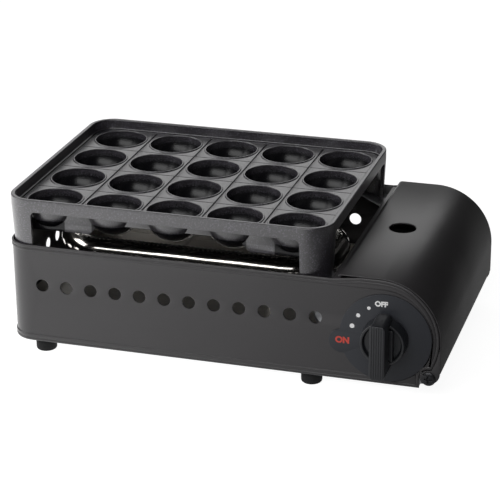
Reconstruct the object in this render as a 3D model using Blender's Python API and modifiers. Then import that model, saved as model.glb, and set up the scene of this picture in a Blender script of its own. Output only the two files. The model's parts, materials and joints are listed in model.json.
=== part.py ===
"""Table-top gas cooker for takoyaki, in metres, with Z up.

A cast plate with rows of round cups stands on a steel body that holds a ring
burner. A bay on the right holds a gas cartridge under a cover that hinges
outwards, and a knob on the front panel turns the gas valve and fires the
igniter. Every piece is drawn about the centre of the cooking plate, with Z
measured from the table, and one empty then moves them all so that the origin
lies under the middle of the whole cooker.
"""
import math

import bmesh
import bpy
from mathutils import Matrix, Vector

# Fits and drawing
GAP = 0.0003                    # between two pieces that touch
OVERRUN = 0.004                 # how far a cutter runs past what it cuts
MERGE = 0.00001                 # doubles closer than this are one point
SHARP_ANGLE = 32.0              # degrees; edges sharper than this stay crisp
CORNER_STEPS = 6                # straight runs in a quarter of a corner
ROUND_STEPS = 20                # sides of a turned piece
SMALL_STEPS = 8                 # sides of a screw or a small hole
VENT_STEPS = 14                 # sides of a vent, a post or a magnet
FINE_STEPS = 36                 # sides of a large round outline
CUP_STEPS = 18                  # sides of a cup's inside
CUP_RINGS = 4                   # bands from a cup's lip to its middle
CUP_BACK_STEPS = 12
CUP_BACK_RINGS = 3
PATH_STEPS = 5                  # straight runs between two points of a smooth route

# Cooking plate
CUP_PITCH = 0.0506
CUP_COLUMNS = 5
CUP_ROWS = 4
CUP_RADIUS = 0.0218
CUP_WALL = 0.0026
PLATE_SIDE_MARGIN = 0.0328      # from the last cup's middle to the rim's outer side
PLATE_END_MARGIN = 0.0301
PLATE_CORNER = 0.0210
RIM_HEIGHT = 0.0086             # above the deck
RIM_WALL = 0.0036
DECK_THICKNESS = 0.0024
LEG_WALL = 0.0030
LEG_WIDTH = 0.0232              # from the rim's outer side to the side opening
LEG_DEPTH = 0.0080              # how far a leg reaches into the body
OPENING_DROP = 0.0016           # from the deck down to the top of a side opening
OPENING_CORNER = 0.0045
RIB_OFFSET = 0.0150             # from the outer cups' middles out to the rib
RIB_WALL = 0.0026
RIB_SHORT = 0.0115              # the rib's depth between the middle cups
RIB_TALL = 0.0212               # the rib's depth by the legs
RIB_TALL_START = 0.0608         # from the plate's middle to where the deep part starts
RIB_CHAMFER = 0.0060
GROOVE_WIDE = 0.0016
GROOVE_NARROW = 0.0009
GROOVE_DEPTH = 0.0009

# Body
FOOT_HEIGHT = 0.0108            # of the body's lower edge above the table
BODY_HEIGHT = 0.0840
DECK_RISE = 0.0297              # from the body's upper edge to the plate's deck
BODY_SHEET = 0.0010
BODY_REVEAL = 0.0008            # the body's edge stands out past the plate's rim
BODY_CORNER = 0.0200
BAND_PROUD = 0.0007             # the edge bands stand out from the field of a wall
TOP_BAND = 0.0050
BOTTOM_BAND = 0.0057
PLATE_FIT = 0.0005              # round the plate's legs
VENT_COUNT = 12
VENT_SIDE_COUNT = 7
VENT_PITCH = 0.0207
VENT_RADIUS = 0.0052
VENT_DROP = 0.0344              # from the body's upper edge
VENT_ROW_SHIFT = 0.0103         # the row's middle lies this far right of the plate's

# Gas bay and its cover
PARTITION_SPACE = 0.0028        # between the plate's rim and the bay's wall
PARTITION_SHEET = 0.0010
PARTITION_DROP = 0.0006         # its top lies below the body's upper edge
PARTITION_CAP = 0.0062          # width of its folded top
PARTITION_STEP = 0.0048         # height of the fold beside that top
PARTITION_LEDGE = 0.0090        # width of the ledge under the cover
COVER_SPACE = 0.0050            # from the bay's wall to the cover's left edge
COVER_SHEET = 0.0010
COVER_FIT = 0.0004              # between the cover and the panels' edges
COVER_RISE = 0.0043             # above the body's upper edge
COVER_FLAT = 0.0330             # from the left edge to the start of the round
COVER_RADIUS = 0.0488
COVER_LIP_RUN = 0.0016
COVER_LIP_DROP = 0.0010
COVER_HOLE_RADIUS = 0.0108
COVER_HOLE_SHIFT = 0.0267       # from the cover's left edge
PANEL_RAMP = 0.0148             # its top edge is level for this far left of the round
PANEL_BAND_SIDE = 0.0052        # the band's width down the panel's round end
PANEL_BAND_CORNER = 0.0400      # radius of the field in that corner

# Hinge
HINGE_INSET = 0.0092            # from the cover's right side
HINGE_HEIGHT = 0.0090           # above the body's lower edge
HINGE_CLEAR = 0.0073            # the panels are cut this far round the hinge
EAR_KNUCKLE = 0.0069
EAR_SHEET = 0.0012
EAR_INSET = 0.0002              # from the cover's end
EAR_CORNER_LIFT = 0.0042        # middle of the ear's round corner above the hinge
COVER_SIDE_LIFT = 0.0052        # the cover's side ends this far above the hinge
EAR_TOP_ANGLE = -8.0            # degrees round the cover's middle
HINGE_BRACKET_LENGTH = 0.0190
HINGE_BRACKET_RADIUS = 0.0060
HINGE_BRACKET_SHEET = 0.0016
HINGE_BRACKET_FOOT = 0.0110
HINGE_SCREW_RADIUS = 0.0020
HINGE_HEAD_RADIUS = 0.0057
HINGE_HEAD_HEIGHT = 0.0016
HINGE_NUT_RADIUS = 0.0038
HINGE_NUT_HEIGHT = 0.0026

# Base pan and feet
PAN_SHEET = 0.0010
PAN_WALL_HEIGHT = 0.0070
PAN_LIFT = 0.0012               # its underside lies above the body's lower edge
SILL_SPACE = 0.0080             # from the sill's ends to the pan's side walls
FOOT_RADIUS = 0.0085
FOOT_TOP_RADIUS = 0.0078
FOOT_CHAMFER = 0.0012
FOOT_INSET_X = 0.0278           # from the body's left side
FOOT_INSET_Y = 0.0118           # from the front and back faces
FOOT_SPAN_X = 0.2255
FOOT_SCREW_RADIUS = 0.0020
FOOT_SCREW_DEPTH = 0.0060
FOOT_HEAD_RADIUS = 0.0040
FOOT_HEAD_HEIGHT = 0.0018

# Reflector tray
TRAY_SHEET = 0.0009
TRAY_LIFT = 0.0140              # above the pan's floor
TRAY_DEPTH = 0.0120
TRAY_SPACE = 0.0045             # to the body's walls
TRAY_CORNER = 0.0160
TRAY_POST_RADIUS = 0.0050
TRAY_POST_INSET = 0.0300
TRAY_SCREW_RADIUS = 0.0016
TRAY_HEAD_RADIUS = 0.0034
TRAY_HEAD_HEIGHT = 0.0015

# Ring burner
BURNER_END_SPACE = 0.0148       # from the channel's outer side to the bay's wall
BURNER_HALF_Y = 0.0435          # to the middle of the channel
BURNER_CORNER = 0.0360
BURNER_RADIUS = 0.0105          # of the channel's half-round top
BURNER_LOWER = 0.0065           # depth of the lower half
BURNER_DRAW = 0.0042            # the lower half's sloped edge
BURNER_SHEET = 0.0009
BURNER_DROP = 0.0138            # its top lies this far below the body's upper edge
BURNER_POST_WIDTH = 0.0240
BURNER_POST_SHEET = 0.0012
BURNER_POST_FOOT = 0.0100
STAY_RADIUS = 0.0012
STAY_SHIFT = -0.0100            # from the plate's middle
STAY_RISE = 0.0030              # above the middle of the channel

# Mixing tube
TUBE_RADIUS = 0.0080
TUBE_WALL = 0.0009
TUBE_REACH = 0.0200             # of the curve's handles at each end of its bend
TUBE_HOLE_SPACE = 0.0006        # round it in the bay's wall
TUBE_OVER_NOZZLE = 0.0030

# Valve and its bracket
VALVE_SPACE = 0.0052            # from the front panel to the valve's face
VALVE_RADIUS = 0.0190
VALVE_DEPTH = 0.0190
VALVE_EDGE = 0.0012
VALVE_ARM_WIDTH = 0.0120
VALVE_ARM_LENGTH = 0.0250       # from the spindle's axis
NOZZLE_RADIUS = 0.0030
NOZZLE_TIP_RADIUS = 0.0018
NOZZLE_LENGTH = 0.0080
NOZZLE_BORE = 0.0006
NOZZLE_HEX = 0.0048
NOZZLE_HEX_LENGTH = 0.0035
BRACKET_SHEET = 0.0016
BRACKET_HALF_WIDTH = 0.0253
BRACKET_TOP_LIFT = 0.0300       # above the spindle's axis
BRACKET_FOOT = 0.0140
BRACKET_CORNER = 0.0060
BRACKET_SCREW_SPREAD = 0.0180
SOCKET_RADIUS = 0.0080          # the hole that the cartridge's stem reaches through
COLLAR_RADIUS = 0.0120
COLLAR_WALL = 0.0020
COLLAR_DEPTH = 0.0030
MAGNET_RADIUS = 0.0040
MAGNET_DEPTH = 0.0030
MAGNET_DISTANCE = 0.0208
GUIDE_WIDTH = 0.0060
GUIDE_HEIGHT = 0.0040
GUIDE_DEPTH = 0.0110
GUIDE_LIFT = 0.0200             # above the spindle's axis
SCREW_RADIUS = 0.0015
SCREW_HEAD_RADIUS = 0.0030
SCREW_HEAD_HEIGHT = 0.0016
VALVE_SCREW_DISTANCE = 0.0160
VALVE_SCREW_DEPTH = 0.0080

# Dial, knob, spindle and cam
KNOB_SHIFT = 0.0052             # from the middle of the cover's round
DIAL_FOOT_SPACE = 0.0028        # from the body's lower edge to the dial
DIAL_RADIUS = 0.0363
DIAL_THICKNESS = 0.0008
LOBE_RADIUS = 0.0098
LOBE_SHIFT = 0.0350
LOBE_DROP = 0.0064
KNOB_RADIUS = 0.0184
KNOB_DEPTH = 0.0115
KNOB_RIM = 0.0020
KNOB_RECESS = 0.0035
KNOB_TAPER = 0.0010             # the knob is this much narrower at its front
KNOB_LIFT = 0.0005              # from the dial
BAR_LENGTH = 0.0453
BAR_WIDTH = 0.0117
BAR_DEPTH = 0.0290              # of the bar's front face from the dial
BAR_BACK = 0.0035
BAR_CORNER = 0.0030
BAR_BEVEL = 0.0008
SPINDLE_RADIUS = 0.0035
SPINDLE_FLAT = 0.0009
SPINDLE_IN_KNOB = 0.0120
SPINDLE_IN_VALVE = 0.0120
SPINDLE_HOLE = 0.0050
CAM_RADIUS = 0.0080
CAM_REACH = 0.0125
CAM_NOSE = 0.0030
CAM_THICKNESS = 0.0024
CAM_SPACE = 0.0024              # behind the front panel

# Igniter
PIEZO_WIDTH = 0.0140
PIEZO_DEPTH = 0.0150
PIEZO_HEIGHT = 0.0160
PIEZO_BEVEL = 0.0012
PIEZO_BUTTON = 0.0016
ELECTRODE_X = 0.0680
ELECTRODE_SPACE = 0.0045        # from the burner's inner side
ELECTRODE_RADIUS = 0.0009
ELECTRODE_DROP = 0.0015         # its tip lies below the burner's top
ELECTRODE_BARE = 0.0140
ELECTRODE_LEAN = 0.0020
INSULATOR_RADIUS = 0.0028
INSULATOR_COLLAR = 0.0045
INSULATOR_COLLAR_HEIGHT = 0.0040
INSULATOR_TAIL = 0.0050         # below the tray
LEAD_RADIUS = 0.0012
LEAD_HOLE = 0.0026
LEAD_BEND = 0.0100

# Gas cartridge's cradle
CRADLE_SHEET = 0.0012
CRADLE_HALF_ANGLE = 44.0        # degrees each side of straight down
CRADLE_LENGTH = 0.1180
CRADLE_SPACE = 0.0060           # behind the foot of the valve's bracket

# Rests for the plate's legs
REST_SHEET = 0.0012
REST_REACH = 0.0330             # along each wall
REST_TAB = 0.0080
REST_TAB_HEIGHT = 0.0080


def arc(centre, radius, start, end, steps):
    """Points from start to end degrees on a circle, both ends included."""
    points = []
    for step in range(steps + 1):
        turn = math.radians(start + (end - start) * step / steps)
        points.append((centre[0] + radius * math.cos(turn), centre[1] + radius * math.sin(turn)))
    return points


def rounded(low, high, radius, steps=CORNER_STEPS):
    """A rectangle from its low to its high corner, with round corners."""
    points = []
    for index, (x, y, side_x, side_y) in enumerate(((high[0], low[1], 1, -1), (high[0], high[1], 1, 1),
                                                    (low[0], high[1], -1, 1), (low[0], low[1], -1, -1))):
        start = -90 + 90 * index
        points += arc((x - side_x * radius, y - side_y * radius), radius, start, start + 90, steps)
    return points


def start_scene():
    """Empty the file and make the collections and the empty that carries every piece."""
    for item in list(bpy.data.objects):
        bpy.data.objects.remove(item, do_unlink=True)
    parts = bpy.data.collections.new("takoyaki_cooker")
    cutters = bpy.data.collections.new("cutters")
    for collection in (parts, cutters):
        bpy.context.scene.collection.children.link(collection)
    centre = bpy.data.objects.new("cooker_centre", None)
    bpy.context.scene.collection.objects.link(centre)
    return parts, cutters, centre


PARTS, CUTTERS, CENTRE = start_scene()

# An outline's own X and Y lie along X and Y on axis Z, X and Z on axis Y, Y and Z on axis X
OUTLINE_TURN = {
    "Z": Matrix.Identity(4),
    "Y": Matrix.Rotation(math.radians(90), 4, "X"),
    "X": Matrix.Rotation(math.radians(90), 4, "Z") @ Matrix.Rotation(math.radians(90), 4, "X"),
}
# A turned profile's height runs along the axis
PROFILE_TURN = {
    "Z": Matrix.Identity(4),
    "Y": Matrix.Rotation(math.radians(-90), 4, "X"),
    "X": Matrix.Rotation(math.radians(90), 4, "Y"),
}


def closed(mesh):
    """Weld a mesh's doubles and turn its faces outwards."""
    shape = bmesh.new()
    shape.from_mesh(mesh)
    bmesh.ops.remove_doubles(shape, verts=shape.verts, dist=MERGE)
    bmesh.ops.recalc_face_normals(shape, faces=shape.faces)
    shape.to_mesh(mesh)
    shape.free()
    return mesh


def evaluated(item):
    """The mesh of an object as its modifiers leave it; the object is then removed."""
    bpy.context.scene.collection.objects.link(item)
    graph = bpy.context.evaluated_depsgraph_get()
    mesh = bpy.data.meshes.new_from_object(item.evaluated_get(graph))
    bpy.data.objects.remove(item, do_unlink=True)
    return closed(mesh)


def add_spline(curve, points, cyclic):
    spline = curve.splines.new("POLY")
    spline.points.add(len(points) - 1)
    for target, point in zip(spline.points, points):
        target.co = (*point, *([0] * (3 - len(point))), 1)
    spline.use_cyclic_u = cyclic


def flat(loops, axis, start, end):
    """A flat outline, with any holes, carried along an axis from start to end."""
    curve = bpy.data.curves.new("outline", "CURVE")
    curve.dimensions = "2D"
    curve.fill_mode = "BOTH"
    curve.extrude = abs(end - start) / 2
    for loop in loops:
        add_spline(curve, loop, True)
    mesh = evaluated(bpy.data.objects.new("outline", curve))
    middle = (start + end) / 2
    shift = {"Z": (0, 0, middle), "Y": (0, middle, 0), "X": (middle, 0, 0)}[axis]
    mesh.transform(Matrix.Translation(shift) @ OUTLINE_TURN[axis])
    return closed(mesh)


def block(low, high):
    """A plain box between two corners."""
    shape = bmesh.new()
    bmesh.ops.create_cube(shape, size=1)
    middle = (Vector(low) + Vector(high)) / 2
    size = Vector(high) - Vector(low)
    for vertex in shape.verts:
        vertex.co = middle + vertex.co * size
    mesh = bpy.data.meshes.new("block")
    shape.to_mesh(mesh)
    shape.free()
    return mesh


def turned(profile, axis="Z", place=(0, 0, 0), steps=ROUND_STEPS):
    """A profile of radius and height, from top to bottom, turned once round its axis."""
    mesh = bpy.data.meshes.new("profile")
    points = [(radius, 0, height) for radius, height in profile]
    mesh.from_pydata(points, [(i, i + 1) for i in range(len(points) - 1)], [])
    item = bpy.data.objects.new("profile", mesh)
    screw = item.modifiers.new("turn", "SCREW")
    screw.steps = screw.render_steps = steps
    screw.use_merge_vertices = True
    screw.merge_threshold = MERGE
    shape = evaluated(item)
    shape.transform(Matrix.Translation(place) @ PROFILE_TURN[axis])
    return closed(shape)


def rod(radius, axis, place, length, steps=ROUND_STEPS):
    """A plain cylinder from a point along an axis, forwards or backwards."""
    shape = bmesh.new()
    bmesh.ops.create_cone(shape, cap_ends=True, segments=steps, radius1=radius, radius2=radius,
                          depth=abs(length))
    mesh = bpy.data.meshes.new("rod")
    shape.to_mesh(mesh)
    shape.free()
    middle = Matrix.Translation((0, 0, length / 2))
    mesh.transform(Matrix.Translation(place) @ PROFILE_TURN[axis] @ middle)
    return mesh


def wire(points, radius, resolution=2):
    """A round wire along a route, with closed ends."""
    curve = bpy.data.curves.new("wire", "CURVE")
    curve.dimensions = "3D"
    curve.bevel_depth = radius
    curve.bevel_resolution = resolution
    curve.use_fill_caps = True
    add_spline(curve, points, False)
    return evaluated(bpy.data.objects.new("wire", curve))


def swept(path, profile):
    """A closed profile carried round a closed level path: sideways first, then up."""
    outline = bpy.data.curves.new("profile", "CURVE")
    outline.dimensions = "2D"
    add_spline(outline, profile, True)
    guide = bpy.data.objects.new("profile", outline)
    bpy.context.scene.collection.objects.link(guide)
    curve = bpy.data.curves.new("sweep", "CURVE")
    curve.dimensions = "3D"
    curve.twist_mode = "Z_UP"
    curve.bevel_mode = "OBJECT"
    curve.bevel_object = guide
    add_spline(curve, path, True)
    mesh = evaluated(bpy.data.objects.new("sweep", curve))
    bpy.data.objects.remove(guide, do_unlink=True)
    return mesh


def sheet(path, axis, start, end, thickness):
    """Sheet metal bent along a path, its thickness to the right of the way the path runs."""
    points = [(*point, start) for point in path]
    mesh = bpy.data.meshes.new("sheet")
    mesh.from_pydata(points, [(i, i + 1) for i in range(len(points) - 1)], [])
    shape = bmesh.new()
    shape.from_mesh(mesh)
    shape.edges.ensure_lookup_table()
    first = shape.edges[0]
    risen = bmesh.ops.extrude_edge_only(shape, edges=shape.edges)["geom"]
    for vertex in (part for part in risen if isinstance(part, bmesh.types.BMVert)):
        vertex.co.z = end
    shape.normal_update()
    along = Vector((*path[1], 0)) - Vector((*path[0], 0))
    if first.link_faces[0].normal.dot(Vector((along.y, -along.x, 0))) > 0:
        bmesh.ops.reverse_faces(shape, faces=shape.faces)
    shape.to_mesh(mesh)
    shape.free()
    item = bpy.data.objects.new("sheet", mesh)
    wall = item.modifiers.new("wall", "SOLIDIFY")
    wall.thickness = thickness
    wall.offset = -1
    wall.use_even_offset = True
    solid = evaluated(item)
    # The sheet was raised along Z; an outline on axis X or Y has its depth the other way round
    turn = OUTLINE_TURN[axis]
    if axis == "Y":
        turn = turn @ Matrix.Scale(-1, 4, (0, 0, 1))
    solid.transform(turn)
    return closed(solid)


def smooth_route(knots, steps=PATH_STEPS):
    """A smooth curve through a few points, each stretch cut into equal steps."""
    knots = [Vector(knot) for knot in knots]
    ends = [knots[0] * 2 - knots[1]] + knots + [knots[-1] * 2 - knots[-2]]
    route = []
    for index in range(len(knots) - 1):
        a, b, c, d = ends[index:index + 4]
        for step in range(steps):
            t = step / steps
            route.append(tuple((b * 2 + (c - a) * t + (a * 2 - b * 5 + c * 4 - d) * t ** 2
                                + (b * 3 - a - c * 3 + d) * t ** 3) / 2))
    return route + [tuple(knots[-1])]


def bend(start, start_pull, end, end_pull, steps):
    """A cubic Bezier from start to end, pulled out at each end by a handle."""
    first, second = start + start_pull, end + end_pull
    route = []
    for step in range(steps + 1):
        t = step / steps
        s = 1 - t
        route.append(tuple(start * s ** 3 + first * 3 * t * s ** 2 + second * 3 * t ** 2 * s + end * t ** 3))
    return route


def joined(*meshes):
    """Separate solids in one mesh."""
    shape = bmesh.new()
    for mesh in meshes:
        shape.from_mesh(mesh)
    result = bpy.data.meshes.new("joined")
    shape.to_mesh(result)
    shape.free()
    return result


def moved(mesh, place):
    copy = mesh.copy()
    copy.transform(Matrix.Translation(place))
    return copy


def cutter(name, mesh):
    item = bpy.data.objects.new(name, mesh)
    CUTTERS.objects.link(item)
    item.parent = CENTRE
    item.hide_render = True
    item.display_type = "WIRE"
    return item


def combine(item, operation, *meshes):
    """Add, cut or intersect solids with exact Booleans, in the order given."""
    for mesh in meshes:
        tool = cutter(f"{item.name}_{operation.lower()}_{len(item.modifiers)}", mesh)
        change = item.modifiers.new(tool.name, "BOOLEAN")
        change.operation = operation
        change.object = tool
        change.solver = "EXACT"
    return item


FINISHES = {                    # colour, roughness, metallic
    "cast_coating": ((0.055, 0.050, 0.055), 0.5, 0.2),
    "body_paint": ((0.058, 0.056, 0.057), 0.45, 0.1),
    "knob_plastic": ((0.030, 0.031, 0.034), 0.4, 0.0),
    "dial_print": ((0.028, 0.030, 0.036), 0.35, 0.0),
    "stainless": ((0.62, 0.60, 0.57), 0.22, 1.0),
    "zinc_plate": ((0.50, 0.51, 0.53), 0.4, 1.0),
    "valve_casting": ((0.58, 0.59, 0.60), 0.45, 1.0),
    "brass": ((0.70, 0.52, 0.25), 0.35, 1.0),
    "screw_black": ((0.030, 0.030, 0.032), 0.35, 0.6),
    "rubber": ((0.012, 0.012, 0.012), 0.8, 0.0),
    "ceramic": ((0.82, 0.80, 0.75), 0.35, 0.0),
    "magnet": ((0.16, 0.16, 0.17), 0.5, 0.6),
    "igniter_plastic": ((0.42, 0.05, 0.04), 0.45, 0.0),
    "lead_sleeve": ((0.60, 0.58, 0.55), 0.5, 0.0),
}


def piece(name, mesh, finish, origin=(0, 0, 0)):
    """A named sub-part, whose origin is put where it turns or slides."""
    mesh.transform(Matrix.Translation(origin).inverted())
    mesh.name = name
    item = bpy.data.objects.new(name, mesh)
    PARTS.objects.link(item)
    item.parent = CENTRE
    item.location = origin
    colour, roughness, metallic = FINISHES[finish]
    material = bpy.data.materials.new(name)
    material.use_nodes = True
    shader = material.node_tree.nodes["Principled BSDF"]
    shader.inputs["Base Color"].default_value = (*colour, 1)
    shader.inputs["Roughness"].default_value = roughness
    shader.inputs["Metallic"].default_value = metallic
    mesh.materials.clear()
    mesh.materials.append(material)
    mesh.shade_smooth()
    mesh.set_sharp_from_angle(angle=math.radians(SHARP_ANGLE))
    return item


# Places that several pieces share, worked out from the sizes above
PLATE_HALF_X = CUP_PITCH * (CUP_COLUMNS - 1) / 2 + PLATE_SIDE_MARGIN
PLATE_HALF_Y = CUP_PITCH * (CUP_ROWS - 1) / 2 + PLATE_END_MARGIN
BODY_TOP = FOOT_HEIGHT + BODY_HEIGHT
DECK_Z = BODY_TOP + DECK_RISE
FACE_Y = PLATE_HALF_Y + BODY_REVEAL             # the bands' face, front and back
FIELD_Y = FACE_Y - BAND_PROUD
WALL_Y = FIELD_Y - BODY_SHEET                   # the walls' inner face
BODY_LEFT = -PLATE_HALF_X - BODY_REVEAL
WALL_LEFT = BODY_LEFT + BAND_PROUD + BODY_SHEET
WALL_CORNER = BODY_CORNER - BAND_PROUD - BODY_SHEET
LEG_HALF_X = -WALL_LEFT - PLATE_FIT
LEG_HALF_Y = WALL_Y - PLATE_FIT
LEG_Z = BODY_TOP - LEG_DEPTH
PARTITION_X = PLATE_HALF_X + PARTITION_SPACE
COVER_LEFT = PARTITION_X + COVER_SPACE
COVER_TOP = BODY_TOP + COVER_RISE
ROUND_X = COVER_LEFT + COVER_FLAT               # the middle of the cover's round
ROUND_Z = COVER_TOP - COVER_RADIUS
COVER_RIGHT = ROUND_X + COVER_RADIUS
COVER_INSIDE = COVER_RADIUS - COVER_SHEET
PANEL_RADIUS = COVER_INSIDE - COVER_FIT
PANEL_TOP = ROUND_Z + PANEL_RADIUS
HINGE_X = COVER_RIGHT - HINGE_INSET
HINGE_Z = FOOT_HEIGHT + HINGE_HEIGHT
PANEL_RIGHT = HINGE_X - HINGE_CLEAR
KNOB_X = ROUND_X + KNOB_SHIFT
KNOB_Z = FOOT_HEIGHT + DIAL_FOOT_SPACE + DIAL_RADIUS
PAN_Z = FOOT_HEIGHT + PAN_LIFT
PAN_FLOOR = PAN_Z + PAN_SHEET
PAN_INSIDE_Y = WALL_Y - GAP - PAN_SHEET
TRAY_Z = PAN_FLOOR + TRAY_LIFT
TRAY_FLOOR = TRAY_Z + TRAY_SHEET
BURNER_TOP = BODY_TOP - BURNER_DROP
BURNER_MIDDLE = BURNER_TOP - BURNER_RADIUS
BURNER_HALF_X = PARTITION_X - BURNER_END_SPACE - BURNER_RADIUS
BURNER_BOTTOM = BURNER_MIDDLE - GAP - BURNER_LOWER
DIAL_FRONT_Y = -FIELD_Y - GAP - DIAL_THICKNESS
KNOB_BACK_Y = DIAL_FRONT_Y - KNOB_LIFT
BAR_FRONT_Y = DIAL_FRONT_Y - BAR_DEPTH
VALVE_FRONT_Y = -WALL_Y + VALVE_SPACE
VALVE_BACK_Y = VALVE_FRONT_Y + VALVE_DEPTH
ARM_Y = (VALVE_FRONT_Y + VALVE_BACK_Y) / 2
BRACKET_FRONT_Y = VALVE_BACK_Y + GAP
BRACKET_BACK_Y = BRACKET_FRONT_Y + BRACKET_SHEET
CAM_Y = -WALL_Y + CAM_SPACE + CAM_THICKNESS / 2
ELECTRODE_Y = -BURNER_HALF_Y + BURNER_RADIUS + ELECTRODE_SPACE
PIEZO_X = KNOB_X
PIEZO_TOP = PAN_FLOOR + GAP + PIEZO_HEIGHT


def cup_places(z):
    """Where the cups stand, row by row."""
    for row in range(CUP_ROWS):
        for column in range(CUP_COLUMNS):
            yield ((column - (CUP_COLUMNS - 1) / 2) * CUP_PITCH, (row - (CUP_ROWS - 1) / 2) * CUP_PITCH, z)


def bowl(radius, rim, rings, steps):
    """A half ball below z = 0 with a straight wall up to the rim, or cut off under it."""
    start = math.asin(min(-rim / radius, 1)) if rim < 0 else 0
    profile = [(0, rim), (radius * math.cos(start), rim)]
    for ring in range(rings):
        turn = start + (math.pi / 2 - start) * ring / rings
        if ring or rim > 0:
            profile.append((radius * math.cos(turn), -radius * math.sin(turn)))
    return turned(profile + [(0, -radius)], steps=steps)


def drafted(mesh):
    """Draw a solid in towards the plate's middle, from the deck down to the body's edge."""
    share_x, share_y = LEG_HALF_X / PLATE_HALF_X, LEG_HALF_Y / PLATE_HALF_Y
    for vertex in mesh.vertices:
        depth_share = min(max((DECK_Z - vertex.co.z) / DECK_RISE, 0), 1)
        vertex.co.x *= 1 - (1 - share_x) * depth_share
        vertex.co.y *= 1 - (1 - share_y) * depth_share
    return mesh


def layered(half_x, half_y, corner, heights):
    """A round-cornered block in layers, so that it can be drafted at each height."""
    outline = rounded((-half_x, -half_y), (half_x, half_y), corner)
    shape = bmesh.new()
    rings = [[shape.verts.new((x, y, z)) for x, y in outline] for z in heights]
    for low, high in zip(rings, rings[1:]):
        for index in range(len(outline)):
            after = (index + 1) % len(outline)
            shape.faces.new((low[index], low[after], high[after], high[index]))
    shape.faces.new(rings[0][::-1])
    shape.faces.new(rings[-1])
    mesh = bpy.data.meshes.new("layers")
    shape.to_mesh(mesh)
    shape.free()
    return closed(drafted(mesh))


def rib_outline(half_span, deep_start):
    """A rib along its length: deep by the legs and shallow in the middle."""
    top = DECK_Z - DECK_THICKNESS / 2
    shallow, deep = DECK_Z - RIB_SHORT, DECK_Z - RIB_TALL
    right = [(deep_start, shallow), (deep_start, deep + RIB_CHAMFER), (deep_start + RIB_CHAMFER, deep),
             (half_span, deep), (half_span, top)]
    return right + [(-x, z) for x, z in right[::-1]]


def cooking_plate():
    """One casting: deck, rim, four corner legs, ribs and the rows of cups."""
    rim_top = DECK_Z + RIM_HEIGHT
    outside = layered(PLATE_HALF_X, PLATE_HALF_Y, PLATE_CORNER, (LEG_Z, BODY_TOP, DECK_Z, rim_top))
    plate = piece("cooking_plate", outside, "cast_coating", (0, 0, LEG_Z))
    well = layered(PLATE_HALF_X - RIM_WALL, PLATE_HALF_Y - RIM_WALL, PLATE_CORNER - RIM_WALL,
                   (DECK_Z, rim_top + OVERRUN))
    under = layered(PLATE_HALF_X - LEG_WALL, PLATE_HALF_Y - LEG_WALL, PLATE_CORNER - LEG_WALL,
                    (LEG_Z - OVERRUN, BODY_TOP, DECK_Z - DECK_THICKNESS))
    combine(plate, "DIFFERENCE", well, under)

    arch_top, arch_low = DECK_Z - OPENING_DROP, LEG_Z - OVERRUN - OPENING_CORNER
    for axis, half_open, half in (("Y", PLATE_HALF_X - LEG_WIDTH, PLATE_HALF_Y),
                                  ("X", PLATE_HALF_Y - LEG_WIDTH, PLATE_HALF_X)):
        arch = rounded((-half_open, arch_low), (half_open, arch_top), OPENING_CORNER, CORNER_STEPS // 2)
        inner = half - LEG_WALL - OVERRUN
        combine(plate, "DIFFERENCE", joined(flat([arch], axis, -half - OVERRUN, -inner),
                                            flat([arch], axis, inner, half + OVERRUN)))

    rib_x = CUP_PITCH * (CUP_COLUMNS - 1) / 2 + RIB_OFFSET
    rib_y = CUP_PITCH * (CUP_ROWS - 1) / 2 + RIB_OFFSET
    for outline, axis, place in ((rib_outline(rib_x, RIB_TALL_START), "Y", rib_y),
                                 (rib_outline(rib_y, RIB_TALL_START - CUP_PITCH / 2), "X", rib_x)):
        for side in (-1, 1):
            low = side * place - RIB_WALL / 2
            combine(plate, "UNION", flat([outline], axis, low, low + RIB_WALL))

    backs = bowl(CUP_RADIUS + CUP_WALL, -DECK_THICKNESS / 2, CUP_BACK_RINGS, CUP_BACK_STEPS)
    hollows = bowl(CUP_RADIUS, OVERRUN, CUP_RINGS, CUP_STEPS)
    combine(plate, "UNION", joined(*(moved(backs, place) for place in cup_places(DECK_Z))))
    combine(plate, "DIFFERENCE", joined(*(moved(hollows, place) for place in cup_places(DECK_Z))))

    depth = (DECK_Z - GROOVE_DEPTH, DECK_Z + OVERRUN)
    end_x, end_y = PLATE_HALF_X - 2 * RIM_WALL, PLATE_HALF_Y - 2 * RIM_WALL
    for index in range(CUP_COLUMNS - 1):
        x = (index + 1 - CUP_COLUMNS / 2) * CUP_PITCH
        combine(plate, "DIFFERENCE", block((x - GROOVE_WIDE / 2, -end_y, depth[0]),
                                           (x + GROOVE_WIDE / 2, end_y, depth[1])))
    for index in range(CUP_ROWS - 1):
        y = (index + 1 - CUP_ROWS / 2) * CUP_PITCH
        combine(plate, "DIFFERENCE", block((-end_x, y - GROOVE_NARROW / 2, depth[0]),
                                           (end_x, y + GROOVE_NARROW / 2, depth[1])))


def side_outline():
    """The body seen from the front: level on the left, round at the right end."""
    low_angle = -math.degrees(math.asin((ROUND_Z - HINGE_Z) / PANEL_RADIUS))
    points = [(BODY_LEFT - OVERRUN, FOOT_HEIGHT), (PANEL_RIGHT, FOOT_HEIGHT), (PANEL_RIGHT, HINGE_Z)]
    points += arc((ROUND_X, ROUND_Z), PANEL_RADIUS, low_angle, 90, FINE_STEPS // 2)
    return points + [(ROUND_X - PANEL_RAMP, PANEL_TOP), (PARTITION_X, BODY_TOP),
                     (BODY_LEFT - OVERRUN, BODY_TOP)]


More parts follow.
